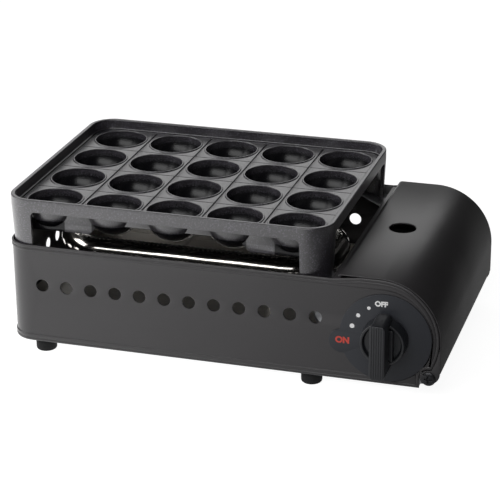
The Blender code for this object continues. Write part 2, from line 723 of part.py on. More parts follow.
def field_outline():
    """The part of the walls that lies behind their edge bands and behind the dial."""
    right = ROUND_X + PANEL_RADIUS - PANEL_BAND_SIDE
    top, low = BODY_TOP - TOP_BAND, FOOT_HEIGHT + BOTTOM_BAND
    reach = DIAL_RADIUS + GAP
    start = math.degrees(math.asin((KNOB_Z - low) / reach)) - 180
    points = [(BODY_LEFT - 3 * OVERRUN, low)]
    points += arc((KNOB_X, KNOB_Z), reach, start, 0, FINE_STEPS // 2)
    points += arc((right - PANEL_BAND_CORNER, top - PANEL_BAND_CORNER), PANEL_BAND_CORNER, 0, 90,
                  FINE_STEPS // 4)
    return points + [(BODY_LEFT - 3 * OVERRUN, top)]


def plan(left, half_y, corner, right):
    """The walls' plan: round at the left corners and square at the right end."""
    points = [(right, -half_y), (right, half_y)]
    points += arc((left + corner, half_y - corner), corner, 90, 180, CORNER_STEPS)
    return points + arc((left + corner, corner - half_y), corner, 180, 270, CORNER_STEPS)


def vent_holes():
    """Rows of round holes, one through the front and back and one through the left side."""
    z = BODY_TOP - VENT_DROP
    holes = []
    for index in range(VENT_COUNT):
        x = VENT_ROW_SHIFT + (index - (VENT_COUNT - 1) / 2) * VENT_PITCH
        holes.append(rod(VENT_RADIUS, "Y", (x, -FACE_Y - OVERRUN, z), 2 * (FACE_Y + OVERRUN), VENT_STEPS))
    row = joined(*holes)
    side = []
    for index in range(VENT_SIDE_COUNT):
        y = (index - (VENT_SIDE_COUNT - 1) / 2) * VENT_PITCH
        side.append(rod(VENT_RADIUS, "X", (BODY_LEFT - OVERRUN, y, z), 2 * OVERRUN, VENT_STEPS))
    return row, joined(*side)


def body_shell():
    """One wrapped sheet, front, left side and back, with its bands and vents."""
    far, low, high = COVER_RIGHT, FOOT_HEIGHT - OVERRUN, PANEL_TOP + OVERRUN
    wrap = flat([plan(BODY_LEFT, FACE_Y, BODY_CORNER, far)], "Z", low, high)
    shell = piece("body_shell", wrap, "body_paint")
    combine(shell, "DIFFERENCE", flat([plan(WALL_LEFT, WALL_Y, WALL_CORNER, far + OVERRUN)], "Z",
                                      low - OVERRUN, high + OVERRUN))
    combine(shell, "INTERSECT", flat([side_outline()], "Y", -FACE_Y - OVERRUN, FACE_Y + OVERRUN))

    outside = plan(BODY_LEFT - OVERRUN, FACE_Y + OVERRUN, BODY_CORNER + OVERRUN, far + OVERRUN)
    recess = cutter("field_recess", flat([outside], "Z", low, high))
    kept = plan(BODY_LEFT + BAND_PROUD, FIELD_Y, BODY_CORNER - BAND_PROUD, far + 2 * OVERRUN)
    combine(recess, "DIFFERENCE", flat([kept], "Z", low - OVERRUN, high + OVERRUN))
    combine(recess, "INTERSECT", flat([field_outline()], "Y", -FACE_Y - 2 * OVERRUN, FACE_Y + 2 * OVERRUN))
    cut = shell.modifiers.new("field", "BOOLEAN")
    cut.operation, cut.object, cut.solver = "DIFFERENCE", recess, "EXACT"

    combine(shell, "DIFFERENCE", *vent_holes())
    combine(shell, "DIFFERENCE", rod(SPINDLE_HOLE, "Y", (KNOB_X, -FACE_Y - OVERRUN, KNOB_Z), 2 * OVERRUN))
    combine(shell, "DIFFERENCE", rod(HINGE_CLEAR, "Y", (HINGE_X, -FACE_Y - OVERRUN, HINGE_Z),
                                     2 * (FACE_Y + OVERRUN)))


def tray_posts():
    """Where the reflector tray is screwed to posts on the base pan."""
    x = -WALL_LEFT - TRAY_SPACE - TRAY_POST_INSET
    y = WALL_Y - TRAY_SPACE - TRAY_POST_INSET
    return {"front_left": (-x, -y), "front_right": (x, -y), "rear_left": (-x, y), "rear_right": (x, y)}


def foot_places():
    left, y = BODY_LEFT + FOOT_INSET_X, FACE_Y - FOOT_INSET_Y
    return {"front_left": (left, -y), "front_right": (left + FOOT_SPAN_X, -y),
            "rear_left": (left, y), "rear_right": (left + FOOT_SPAN_X, y)}


def bracket_screws():
    """Where the valve's bracket is screwed to the pan."""
    y = BRACKET_BACK_Y + BRACKET_FOOT / 2
    return {"left": (KNOB_X - BRACKET_SCREW_SPREAD, y), "right": (KNOB_X + BRACKET_SCREW_SPREAD, y)}


def base_pan():
    """The floor of the body, with folded walls, a sill at the right and posts for the tray."""
    outside = plan(WALL_LEFT + GAP, WALL_Y - GAP, WALL_CORNER - GAP, PANEL_RIGHT)
    top = PAN_Z + PAN_WALL_HEIGHT
    pan = piece("base_pan", flat([outside], "Z", PAN_Z, top), "zinc_plate")
    hollow = plan(WALL_LEFT + GAP + PAN_SHEET, PAN_INSIDE_Y, WALL_CORNER - GAP - PAN_SHEET,
                  PANEL_RIGHT + OVERRUN)
    combine(pan, "DIFFERENCE", flat([hollow], "Z", PAN_FLOOR, top + OVERRUN))
    sill_y = PAN_INSIDE_Y - SILL_SPACE
    rooted = PAN_FLOOR - PAN_SHEET / 2
    sill = block((PANEL_RIGHT - PAN_SHEET, -sill_y, rooted), (PANEL_RIGHT, sill_y, top))
    posts = [rod(TRAY_POST_RADIUS, "Z", (x, y, rooted), TRAY_Z - GAP - rooted, VENT_STEPS)
             for x, y in tray_posts().values()]
    combine(pan, "UNION", sill, joined(*posts))
    holes = []
    for radius, places, depth in ((TRAY_SCREW_RADIUS, tray_posts(), TRAY_Z - PAN_Z),
                                  (FOOT_SCREW_RADIUS, foot_places(), PAN_SHEET),
                                  (SCREW_RADIUS, bracket_screws(), PAN_SHEET)):
        holes += [rod(radius + GAP, "Z", (x, y, PAN_Z - OVERRUN), depth + 2 * OVERRUN, SMALL_STEPS)
                  for x, y in places.values()]
    combine(pan, "DIFFERENCE", joined(*holes))


def screw(radius, head_radius, head_height, seat, end, axis="Z", place=(0, 0, 0), steps=SMALL_STEPS):
    """A screw whose domed head lies on its seat and whose shank reaches to its end."""
    way = 1 if seat > end else -1
    profile = [(0, seat + way * head_height), (head_radius / 2, seat + way * head_height),
               (head_radius, seat + way * head_height / 3), (head_radius, seat), (radius, seat),
               (radius, end), (0, end)]
    return turned(profile if way > 0 else profile[::-1], axis, place, steps)


def feet():
    """Four rubber feet under the pan, each held by a screw from inside."""
    top = PAN_Z - GAP
    for name, (x, y) in foot_places().items():
        profile = [(0, top), (FOOT_TOP_RADIUS, top), (FOOT_RADIUS, top - FOOT_CHAMFER),
                   (FOOT_RADIUS, FOOT_CHAMFER), (FOOT_RADIUS - FOOT_CHAMFER, 0), (0, 0)]
        foot = piece("foot_" + name, turned(profile, place=(x, y, 0)), "rubber")
        combine(foot, "DIFFERENCE", rod(FOOT_SCREW_RADIUS + GAP, "Z", (x, y, top - FOOT_SCREW_DEPTH - GAP),
                                        FOOT_SCREW_DEPTH + OVERRUN, SMALL_STEPS))
        fixing = screw(FOOT_SCREW_RADIUS, FOOT_HEAD_RADIUS, FOOT_HEAD_HEIGHT, PAN_FLOOR + GAP,
                       top - FOOT_SCREW_DEPTH, place=(x, y, 0))
        piece("foot_screw_" + name, fixing, "zinc_plate")


def reflector_tray():
    """A bright tray under the burner, on the pan's posts, with its screws."""
    half_x, half_y = -WALL_LEFT - TRAY_SPACE, WALL_Y - TRAY_SPACE
    top = TRAY_Z + TRAY_DEPTH
    outline = rounded((-half_x, -half_y), (half_x, half_y), TRAY_CORNER)
    tray = piece("reflector_tray", flat([outline], "Z", TRAY_Z, top), "stainless")
    inner = rounded((TRAY_SHEET - half_x, TRAY_SHEET - half_y), (half_x - TRAY_SHEET, half_y - TRAY_SHEET),
                    TRAY_CORNER - TRAY_SHEET)
    combine(tray, "DIFFERENCE", flat([inner], "Z", TRAY_FLOOR, top + OVERRUN))
    holes = [rod(TRAY_SCREW_RADIUS + GAP, "Z", (x, y, TRAY_Z - OVERRUN), 2 * OVERRUN, SMALL_STEPS)
             for x, y in tray_posts().values()]
    holes.append(rod(INSULATOR_RADIUS + GAP, "Z", (ELECTRODE_X, ELECTRODE_Y, TRAY_Z - OVERRUN), 2 * OVERRUN,
                     SMALL_STEPS))
    combine(tray, "DIFFERENCE", joined(*holes))
    for name, (x, y) in tray_posts().items():
        fixing = screw(TRAY_SCREW_RADIUS, TRAY_HEAD_RADIUS, TRAY_HEAD_HEIGHT, TRAY_FLOOR + GAP, PAN_Z - GAP,
                       place=(x, y, 0))
        piece("tray_screw_" + name, fixing, "zinc_plate")


def bay_partition():
    """The wall between burner and gas bay, folded over at the top into a ledge."""
    top = BODY_TOP - PARTITION_DROP
    ledge = top - PARTITION_STEP
    path = [(PARTITION_X, PAN_FLOOR + GAP), (PARTITION_X, top), (PARTITION_X + PARTITION_CAP, top),
            (PARTITION_X + PARTITION_CAP, ledge), (PARTITION_X + PARTITION_CAP + PARTITION_LEDGE, ledge)]
    half_y = WALL_Y - GAP
    wall = piece("bay_partition", sheet(path, "Y", -half_y, half_y, PARTITION_SHEET), "body_paint")
    notch_y = PAN_INSIDE_Y - GAP
    notch_top = PAN_Z + PAN_WALL_HEIGHT + GAP
    span = (PARTITION_X - OVERRUN, PARTITION_X + OVERRUN)
    front_notch = block((span[0], -half_y - OVERRUN, PAN_Z), (span[1], -notch_y, notch_top))
    rear_notch = block((span[0], notch_y, PAN_Z), (span[1], half_y + OVERRUN, notch_top))
    combine(wall, "DIFFERENCE", front_notch, rear_notch)
    lead_y, lead_z = lead_crossing()
    combine(wall, "DIFFERENCE", joined(
        rod(TUBE_RADIUS + TUBE_HOLE_SPACE, "X", (span[0], ARM_Y, KNOB_Z), 2 * OVERRUN),
        rod(LEAD_HOLE, "X", (span[0], lead_y, lead_z), 2 * OVERRUN, SMALL_STEPS)))


def burner_path(z):
    outline = rounded((-BURNER_HALF_X, -BURNER_HALF_Y), (BURNER_HALF_X, BURNER_HALF_Y), BURNER_CORNER)
    return [(x, y, z) for x, y in outline]


def burner():
    """A ring channel pressed in two halves, on two posts, with a stay across it."""
    half, thin = BURNER_RADIUS, BURNER_SHEET
    upper = arc((0, 0), half, 0, 180, VENT_STEPS // 2) + arc((0, 0), half - thin, 180, 0, VENT_STEPS // 2)
    piece("burner_upper_shell", swept(burner_path(BURNER_MIDDLE), upper), "stainless")

    floor, draw = -BURNER_LOWER, BURNER_DRAW
    outside = [(-half, 0), (-half, floor + draw), (draw - half, floor), (half - draw, floor),
               (half, floor + draw), (half, 0)]
    inside = [(half - thin, 0), (half - thin, floor + draw), (half - draw, floor + thin),
              (draw - half, floor + thin), (thin - half, floor + draw), (thin - half, 0)]
    piece("burner_lower_shell", swept(burner_path(BURNER_MIDDLE - GAP), outside + inside), "stainless")

    for name, side in (("left", -1), ("right", 1)):
        x = side * BURNER_HALF_X
        path = [(x - side * BURNER_POST_FOOT / 2, BURNER_BOTTOM - GAP), (x, BURNER_BOTTOM - GAP),
                (x, TRAY_FLOOR + GAP), (x - side * BURNER_POST_FOOT, TRAY_FLOOR + GAP)]
        inward = path if side > 0 else path[::-1]
        post = sheet(inward, "Y", -BURNER_POST_WIDTH / 2, BURNER_POST_WIDTH / 2, BURNER_POST_SHEET)
        piece("burner_post_" + name, post, "zinc_plate")

    reach = BURNER_HALF_Y - math.sqrt(BURNER_RADIUS ** 2 - STAY_RISE ** 2) - GAP
    z = BURNER_MIDDLE + STAY_RISE
    piece("burner_stay", rod(STAY_RADIUS, "Y", (STAY_SHIFT, -reach, z), 2 * reach, SMALL_STEPS), "stainless")


def mixing_tube():
    """The bent tube that carries gas and air from the nozzle into the burner's corner."""
    corner = Vector((BURNER_HALF_X - BURNER_CORNER, BURNER_CORNER - BURNER_HALF_Y, BURNER_MIDDLE))
    way = Vector((1, -1, 0)).normalized()
    end = corner + way * (BURNER_CORNER + BURNER_RADIUS + GAP)
    nozzle_end = KNOB_X - VALVE_ARM_LENGTH - NOZZLE_HEX_LENGTH - NOZZLE_LENGTH
    mouth = Vector((nozzle_end + TUBE_OVER_NOZZLE, ARM_Y, KNOB_Z))
    turn = Vector((PARTITION_X - GAP, ARM_Y, KNOB_Z))
    route = [tuple(mouth)] + bend(turn, Vector((-TUBE_REACH, 0, 0)), end, way * TUBE_REACH, 3 * PATH_STEPS)
    tube = piece("mixing_tube", wire(route, TUBE_RADIUS), "zinc_plate")
    longer = [mouth + Vector((OVERRUN, 0, 0))] + route + [end - way * OVERRUN]
    combine(tube, "DIFFERENCE", wire(longer, TUBE_RADIUS - TUBE_WALL))


def valve_screws():
    """Where the bracket is screwed to the back of the valve."""
    reach = VALVE_SCREW_DISTANCE / math.sqrt(2)
    return {"upper": (KNOB_X - reach, KNOB_Z + reach), "lower": (KNOB_X + reach, KNOB_Z - reach)}


def valve():
    """The governor valve with its inlet arm, and the nozzle that it feeds."""
    profile = [(0, VALVE_BACK_Y), (VALVE_RADIUS - VALVE_EDGE, VALVE_BACK_Y),
               (VALVE_RADIUS, VALVE_BACK_Y - VALVE_EDGE), (VALVE_RADIUS, VALVE_FRONT_Y + VALVE_EDGE),
               (VALVE_RADIUS - VALVE_EDGE, VALVE_FRONT_Y), (0, VALVE_FRONT_Y)]
    body = piece("gas_valve", turned(profile, "Y", (KNOB_X, 0, KNOB_Z)), "valve_casting")
    half = VALVE_ARM_WIDTH / 2
    arm = block((KNOB_X - VALVE_ARM_LENGTH, ARM_Y - half, KNOB_Z - half),
                (KNOB_X, ARM_Y + half, KNOB_Z + half))
    combine(body, "UNION", arm)
    socket = rod(SPINDLE_RADIUS + GAP, "Y", (KNOB_X, VALVE_FRONT_Y - OVERRUN, KNOB_Z),
                 OVERRUN + SPINDLE_IN_VALVE + GAP, VENT_STEPS)
    tapped = [rod(SCREW_RADIUS + GAP, "Y", (x, VALVE_BACK_Y - VALVE_SCREW_DEPTH - GAP, z),
                  VALVE_SCREW_DEPTH + OVERRUN, SMALL_STEPS) for x, z in valve_screws().values()]
    combine(body, "DIFFERENCE", socket, joined(*tapped))

    start = KNOB_X - VALVE_ARM_LENGTH - GAP
    tip = -NOZZLE_HEX_LENGTH - NOZZLE_LENGTH
    shape = [(0, 0), (NOZZLE_HEX, 0), (NOZZLE_HEX, -NOZZLE_HEX_LENGTH), (NOZZLE_RADIUS, -NOZZLE_HEX_LENGTH),
             (NOZZLE_TIP_RADIUS, tip), (0, tip)]
    nozzle = piece("gas_nozzle", turned(shape, "X", (start, ARM_Y, KNOB_Z), SMALL_STEPS), "brass")
    bore = rod(NOZZLE_BORE, "X", (start + OVERRUN, ARM_Y, KNOB_Z), tip - 2 * OVERRUN, SMALL_STEPS)
    combine(nozzle, "DIFFERENCE", bore)


def valve_bracket():
    """The plate that carries the valve, its screws, and what holds the gas cartridge to it."""
    low, high = PAN_FLOOR + GAP, KNOB_Z + BRACKET_TOP_LIFT
    left, right = KNOB_X - BRACKET_HALF_WIDTH, KNOB_X + BRACKET_HALF_WIDTH
    outline = rounded((left, low - BRACKET_CORNER), (right, high), BRACKET_CORNER, CORNER_STEPS // 2)
    bracket = piece("valve_bracket", flat([outline], "Y", BRACKET_FRONT_Y, BRACKET_BACK_Y), "zinc_plate")
    below = block((left - OVERRUN, BRACKET_FRONT_Y - OVERRUN, low - 2 * BRACKET_CORNER),
                  (right + OVERRUN, BRACKET_BACK_Y + OVERRUN, low))
    combine(bracket, "DIFFERENCE", below)
    root_y = BRACKET_BACK_Y - BRACKET_SHEET / 2
    foot = block((left, root_y, low), (right, BRACKET_BACK_Y + BRACKET_FOOT, low + BRACKET_SHEET))
    guide = block((KNOB_X - GUIDE_WIDTH / 2, root_y, KNOB_Z + GUIDE_LIFT),
                  (KNOB_X + GUIDE_WIDTH / 2, BRACKET_BACK_Y + GUIDE_DEPTH,
                   KNOB_Z + GUIDE_LIFT + GUIDE_HEIGHT))
    combine(bracket, "UNION", foot, guide)
    through = BRACKET_SHEET + 2 * OVERRUN
    holes = [rod(SOCKET_RADIUS, "Y", (KNOB_X, BRACKET_FRONT_Y - OVERRUN, KNOB_Z), through)]
    holes += [rod(SCREW_RADIUS + GAP, "Y", (x, BRACKET_FRONT_Y - OVERRUN, z), through, SMALL_STEPS)
              for x, z in valve_screws().values()]
    holes += [rod(SCREW_RADIUS + GAP, "Z", (x, y, low - OVERRUN), through, SMALL_STEPS)
              for x, y in bracket_screws().values()]
    combine(bracket, "DIFFERENCE", joined(*holes))

    seat = BRACKET_BACK_Y + GAP
    for name, (x, z) in valve_screws().items():
        fixing = screw(SCREW_RADIUS, SCREW_HEAD_RADIUS, SCREW_HEAD_HEIGHT, seat,
                       VALVE_BACK_Y - VALVE_SCREW_DEPTH, "Y", (x, 0, z))
        piece("valve_screw_" + name, fixing, "zinc_plate")
    for name, (x, y) in bracket_screws().items():
        fixing = screw(SCREW_RADIUS, SCREW_HEAD_RADIUS, SCREW_HEAD_HEIGHT, low + BRACKET_SHEET + GAP,
                       PAN_Z - GAP, place=(x, y, 0))
        piece("bracket_screw_" + name, fixing, "zinc_plate")
    collar = piece("cartridge_collar", rod(COLLAR_RADIUS, "Y", (KNOB_X, seat, KNOB_Z), COLLAR_DEPTH),
                   "zinc_plate")
    combine(collar, "DIFFERENCE", rod(COLLAR_RADIUS - COLLAR_WALL, "Y", (KNOB_X, seat - OVERRUN, KNOB_Z),
                                      COLLAR_DEPTH + 2 * OVERRUN))
    for name, side in (("left", -1), ("right", 1)):
        place = (KNOB_X + side * MAGNET_DISTANCE, seat, KNOB_Z)
        piece("cartridge_magnet_" + name, rod(MAGNET_RADIUS, "Y", place, MAGNET_DEPTH, VENT_STEPS), "magnet")


def cartridge_cradle():
    """A curved rest that a gas cartridge lies in."""
    start, end = -90 - CRADLE_HALF_ANGLE, CRADLE_HALF_ANGLE - 90
    radius = KNOB_Z - PAN_FLOOR - GAP
    path = arc((KNOB_X, KNOB_Z), radius, end, start, FINE_STEPS // 3)
    front = BRACKET_BACK_Y + BRACKET_FOOT + CRADLE_SPACE
    piece("cartridge_cradle", sheet(path, "Y", front, front + CRADLE_LENGTH, CRADLE_SHEET), "zinc_plate")


def lead_crossing():
    """Where the igniter's lead goes through the bay's wall."""
    return GAP - PAN_INSIDE_Y + PIEZO_DEPTH / 2 + LEAD_BEND, PAN_FLOOR + GAP + PIEZO_HEIGHT / 2


def igniter():
    """The igniter under the cam, with the button that the cam's nose passes over."""
    front = GAP - PAN_INSIDE_Y
    low = PAN_FLOOR + GAP
    case = block((PIEZO_X - PIEZO_WIDTH / 2, front, low),
                 (PIEZO_X + PIEZO_WIDTH / 2, front + PIEZO_DEPTH, PIEZO_TOP))
    piezo = piece("igniter", case, "igniter_plastic")
    bevel = piezo.modifiers.new("edges", "BEVEL")
    bevel.width, bevel.segments = PIEZO_BEVEL, 2
    rise = KNOB_Z - CAM_REACH - GAP - PIEZO_TOP + PIEZO_BEVEL
    button = rod(PIEZO_BUTTON, "Z", (PIEZO_X, CAM_Y, PIEZO_TOP - PIEZO_BEVEL), rise, SMALL_STEPS)
    combine(piezo, "UNION", button)


def electrode():
    """The electrode that sparks at the burner, in its insulator, and the lead from the igniter."""
    tip = BURNER_TOP - ELECTRODE_DROP
    shoulder = tip - ELECTRODE_BARE
    tail = TRAY_Z - INSULATOR_TAIL
    seat = TRAY_FLOOR + GAP
    collar = seat + INSULATOR_COLLAR_HEIGHT
    profile = [(0, shoulder), (INSULATOR_RADIUS, shoulder), (INSULATOR_RADIUS, collar),
               (INSULATOR_COLLAR, collar), (INSULATOR_COLLAR, seat), (INSULATOR_RADIUS, seat),
               (INSULATOR_RADIUS, tail), (0, tail)]
    x, y = ELECTRODE_X, ELECTRODE_Y
    piece("electrode_insulator", turned(profile, place=(x, y, 0), steps=SMALL_STEPS), "ceramic")
    crook = tip - ELECTRODE_LEAN
    rise = [(x, y, shoulder + GAP), (x, y, crook - ELECTRODE_LEAN), (x, y - ELECTRODE_LEAN / 3, crook),
            (x, y - ELECTRODE_LEAN, tip)]
    piece("spark_electrode", wire(rise, ELECTRODE_RADIUS, 1), "stainless")

    lead_y, lead_z = lead_crossing()
    ground = PAN_FLOOR + LEAD_RADIUS + GAP
    knots = [(PIEZO_X - PIEZO_WIDTH / 2 - GAP, lead_y - LEAD_BEND, lead_z),
             (PIEZO_X - PIEZO_WIDTH / 2 - LEAD_BEND, lead_y - LEAD_BEND, lead_z),
             (PARTITION_X + LEAD_BEND, lead_y, lead_z),
             (PARTITION_X - LEAD_BEND / 2, lead_y, lead_z),
             (PARTITION_X - 2 * LEAD_BEND, lead_y + 2 * LEAD_BEND, ground),
             (x + 3 * LEAD_BEND, y - 2 * LEAD_BEND, ground),
             (x + LEAD_BEND, y - LEAD_BEND / 2, ground),
             (x, y, (ground + tail) / 2),
             (x, y, tail - GAP)]
    route = [(*level, max(z, ground)) for *level, z in smooth_route(knots)]
    piece("igniter_lead", wire(route, LEAD_RADIUS, 1), "lead_sleeve")


def cartridge_cover():
    """The rounded cover over the gas bay, with an ear at each end for its hinge."""
    low = HINGE_Z + EAR_CORNER_LIFT
    path = [(COVER_LEFT, COVER_TOP - COVER_LIP_DROP), (COVER_LEFT + COVER_LIP_RUN, COVER_TOP)]
    path += arc((ROUND_X, ROUND_Z), COVER_RADIUS, 90, 0, FINE_STEPS // 2)
    path += [(COVER_RIGHT, HINGE_Z + COVER_SIDE_LIFT)]
    skin = sheet(path, "Y", -FACE_Y, FACE_Y, COVER_SHEET)
    cover = piece("cartridge_cover", skin, "body_paint", (HINGE_X, 0, HINGE_Z))

    end_angle = -math.degrees(math.asin((ROUND_Z - HINGE_Z - EAR_KNUCKLE) / COVER_INSIDE))
    ear = arc((ROUND_X, ROUND_Z), COVER_INSIDE, EAR_TOP_ANGLE, end_angle, FINE_STEPS // 5)
    ear += knuckle(ear[-1])
    ear += arc((HINGE_X, low), HINGE_INSET - COVER_SHEET / 2, -90, 0, CORNER_STEPS)
    ear += [(COVER_RIGHT - COVER_SHEET / 2, ear[0][1])]
    for side in (-1, 1):
        near, far = sorted((side * (FACE_Y - EAR_INSET), side * (FACE_Y - EAR_INSET - EAR_SHEET)))
        combine(cover, "UNION", flat([ear], "Y", near, far))
    window = rod(COVER_HOLE_RADIUS, "Z", (COVER_LEFT + COVER_HOLE_SHIFT, 0, COVER_TOP - OVERRUN), 2 * OVERRUN)
    pivot = rod(HINGE_SCREW_RADIUS + GAP, "Y", (HINGE_X, -FACE_Y - OVERRUN, HINGE_Z), 2 * (FACE_Y + OVERRUN),
                SMALL_STEPS)
    combine(cover, "DIFFERENCE", window, pivot)


def knuckle(start):
    """The ear's left side: round the hinge, from its highest point to its lower edge."""
    low = HINGE_Z + EAR_CORNER_LIFT - HINGE_INSET + COVER_SHEET / 2
    first = math.degrees(math.atan2(start[1] - HINGE_Z, start[0] - HINGE_X))
    last = 180 + math.degrees(math.asin((HINGE_Z - low) / EAR_KNUCKLE))
    return arc((HINGE_X, HINGE_Z), EAR_KNUCKLE, max(first, 90), last, CORNER_STEPS)


def hinge():
    """Brackets on the pan and the screws that the cover's ears turn on."""
    low = PAN_FLOOR + GAP
    left = HINGE_X - HINGE_BRACKET_LENGTH
    edge = PANEL_RIGHT - PAN_SHEET - GAP
    outline = [(left, low), (PANEL_RIGHT, low)]
    outline += arc((HINGE_X, HINGE_Z), HINGE_BRACKET_RADIUS, -90, 90, CORNER_STEPS)
    outline += [(left, HINGE_Z + HINGE_BRACKET_RADIUS)]
    outer = PAN_INSIDE_Y - GAP
    inner = outer - HINGE_BRACKET_SHEET
    screw_end = inner - GAP - HINGE_NUT_HEIGHT - GAP
    for name, side in (("front", -1), ("rear", 1)):
        near, far = sorted((side * outer, side * inner))
        bracket = piece("hinge_bracket_" + name, flat([outline], "Y", near, far), "zinc_plate")
        near, far = sorted((side * (inner + HINGE_BRACKET_SHEET / 2), side * (inner - HINGE_BRACKET_FOOT)))
        combine(bracket, "UNION", block((left, near, low), (edge, far, low + HINGE_BRACKET_SHEET)))
        hole = rod(HINGE_SCREW_RADIUS + GAP, "Y", (HINGE_X, side * (outer + OVERRUN), HINGE_Z),
                   -side * (outer - screw_end + 2 * OVERRUN), SMALL_STEPS)
        combine(bracket, "DIFFERENCE", hole)
        pivot = screw(HINGE_SCREW_RADIUS, HINGE_HEAD_RADIUS, HINGE_HEAD_HEIGHT, side * (FACE_Y + GAP),
                      side * screw_end, "Y", (HINGE_X, 0, HINGE_Z), ROUND_STEPS)
        piece("hinge_screw_" + name, pivot, "screw_black")
        body = rod(HINGE_NUT_RADIUS, "Y", (HINGE_X, side * (inner - GAP), HINGE_Z), -side * HINGE_NUT_HEIGHT,
                   SMALL_STEPS // 2)
        nut = piece("hinge_nut_" + name, body, "zinc_plate")
        combine(nut, "DIFFERENCE", hole.copy())


def dial_plate():
    """The printed plate behind the knob, a disc with a lobe at its left."""
    back = -FIELD_Y - GAP
    disc = rod(DIAL_RADIUS, "Y", (KNOB_X, back, KNOB_Z), -DIAL_THICKNESS, FINE_STEPS)
    dial = piece("dial_plate", disc, "dial_print")
    lobe = rod(LOBE_RADIUS, "Y", (KNOB_X - LOBE_SHIFT, back, KNOB_Z - LOBE_DROP), -DIAL_THICKNESS)
    combine(dial, "UNION", lobe)
    combine(dial, "DIFFERENCE", rod(SPINDLE_HOLE, "Y", (KNOB_X, back + OVERRUN, KNOB_Z), -3 * OVERRUN))


def knob():
    """The knob with its upright bar, the spindle it turns and the cam that fires the igniter."""
    axis = (KNOB_X, 0, KNOB_Z)
    front = KNOB_BACK_Y - KNOB_DEPTH
    floor = front + KNOB_RECESS
    rim = KNOB_RADIUS - KNOB_TAPER
    profile = [(0, KNOB_BACK_Y), (KNOB_RADIUS, KNOB_BACK_Y), (rim, front), (rim - KNOB_RIM, front),
               (rim - KNOB_RIM - KNOB_TAPER, floor), (0, floor)]
    base = piece("knob", turned(profile, "Y", axis, FINE_STEPS), "knob_plastic", axis)
    bar = rounded((-BAR_WIDTH / 2, -BAR_LENGTH / 2), (BAR_WIDTH / 2, BAR_LENGTH / 2), BAR_CORNER,
                  CORNER_STEPS // 2)
    handle = cutter("knob_bar", flat([bar], "Y", BAR_FRONT_Y, KNOB_BACK_Y - BAR_BACK))
    handle.location = axis
    bevel = handle.modifiers.new("edges", "BEVEL")
    bevel.width, bevel.segments = BAR_BEVEL, 2
    union = base.modifiers.new("bar", "BOOLEAN")
    union.operation, union.object, union.solver = "UNION", handle, "EXACT"
    combine(base, "DIFFERENCE", rod(SPINDLE_RADIUS + GAP, "Y", (KNOB_X, KNOB_BACK_Y + OVERRUN, KNOB_Z),
                                    -OVERRUN - SPINDLE_IN_KNOB - GAP, VENT_STEPS))

    start, end = KNOB_BACK_Y - SPINDLE_IN_KNOB, VALVE_FRONT_Y + SPINDLE_IN_VALVE
    shaft = rod(SPINDLE_RADIUS, "Y", (KNOB_X, start, KNOB_Z), end - start, VENT_STEPS)
    spindle = piece("valve_spindle", shaft, "brass", axis)
    level = KNOB_Z + SPINDLE_RADIUS - SPINDLE_FLAT
    combine(spindle, "DIFFERENCE", block((KNOB_X - SPINDLE_RADIUS, start - OVERRUN, level),
                                         (KNOB_X + SPINDLE_RADIUS, -FACE_Y, level + OVERRUN)))

    near = CAM_Y - CAM_THICKNESS / 2
    disc = rod(CAM_RADIUS, "Y", (KNOB_X, near, KNOB_Z), CAM_THICKNESS)
    cam = piece("ignition_cam", disc, "igniter_plastic", axis)
    nose_x = KNOB_X - CAM_REACH + CAM_NOSE
    nose = rod(CAM_NOSE, "Y", (nose_x, near, KNOB_Z), CAM_THICKNESS, SMALL_STEPS)
    web = block((nose_x, near, KNOB_Z - CAM_NOSE), (KNOB_X, near + CAM_THICKNESS, KNOB_Z + CAM_NOSE))
    combine(cam, "UNION", web, nose)
    combine(cam, "DIFFERENCE", rod(SPINDLE_RADIUS + GAP, "Y", (KNOB_X, near - OVERRUN, KNOB_Z), 3 * OVERRUN,
                                   VENT_STEPS))


def plate_rests():
    """Corner shelves inside the body that the plate's legs stand on."""
    top = LEG_Z - GAP
    left, right, y = WALL_LEFT + GAP, PARTITION_X - GAP, WALL_Y - GAP
    corner = WALL_CORNER - GAP
    for name, side_y in (("front", -1), ("rear", 1)):
        round_corner = arc((left + corner, -y + corner), corner, 180, 270, CORNER_STEPS)
        shelf = [(left, -y + REST_REACH)] + round_corner + [(left + REST_REACH, -y)]
        square = [(right, -y + REST_REACH), (right - REST_REACH, -y), (right, -y)]
        for side, outline in (("left", shelf), ("right", square)):
            placed = [(px, -side_y * py) for px, py in outline]
            plate = flat([placed], "Z", top - REST_SHEET, top)
            rest = piece(f"plate_rest_{name}_{side}", plate, "zinc_plate")
            tab_end = left + REST_REACH if side == "left" else right
            near, far = sorted((side_y * y, side_y * (y - REST_SHEET)))
            combine(rest, "UNION", block((tab_end - REST_TAB, near, top - REST_TAB_HEIGHT),
                                         (tab_end, far, top - REST_SHEET / 2)))


def build():
    """Make every piece, then put the origin under the middle of the whole cooker."""
    for make in (cooking_plate, body_shell, base_pan, feet, reflector_tray, bay_partition, burner,
                 mixing_tube, valve, valve_bracket, cartridge_cradle, igniter, electrode, cartridge_cover,
                 hinge, dial_plate, knob, plate_rests):
        make()
    rear = FACE_Y + GAP + HINGE_HEAD_HEIGHT
    CENTRE.location = (-(BODY_LEFT + COVER_RIGHT) / 2, -(BAR_FRONT_Y + rear) / 2, 0)


build()
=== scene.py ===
"""Looks for a table-top gas cooker with a cast takoyaki plate.

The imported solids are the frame. The plate, the painted sheets, the knob and the
other pieces that show are made again here as smooth surfaces, each in its CAD
node's place. The pieces inside keep their CAD shapes and get finishes.
"""
import json
import math

import bmesh
import bpy
import numpy as np
from bpy.props import FloatProperty, FloatVectorProperty, PointerProperty
from mathutils import Matrix, Vector
from mathutils.geometry import tessellate_polygon


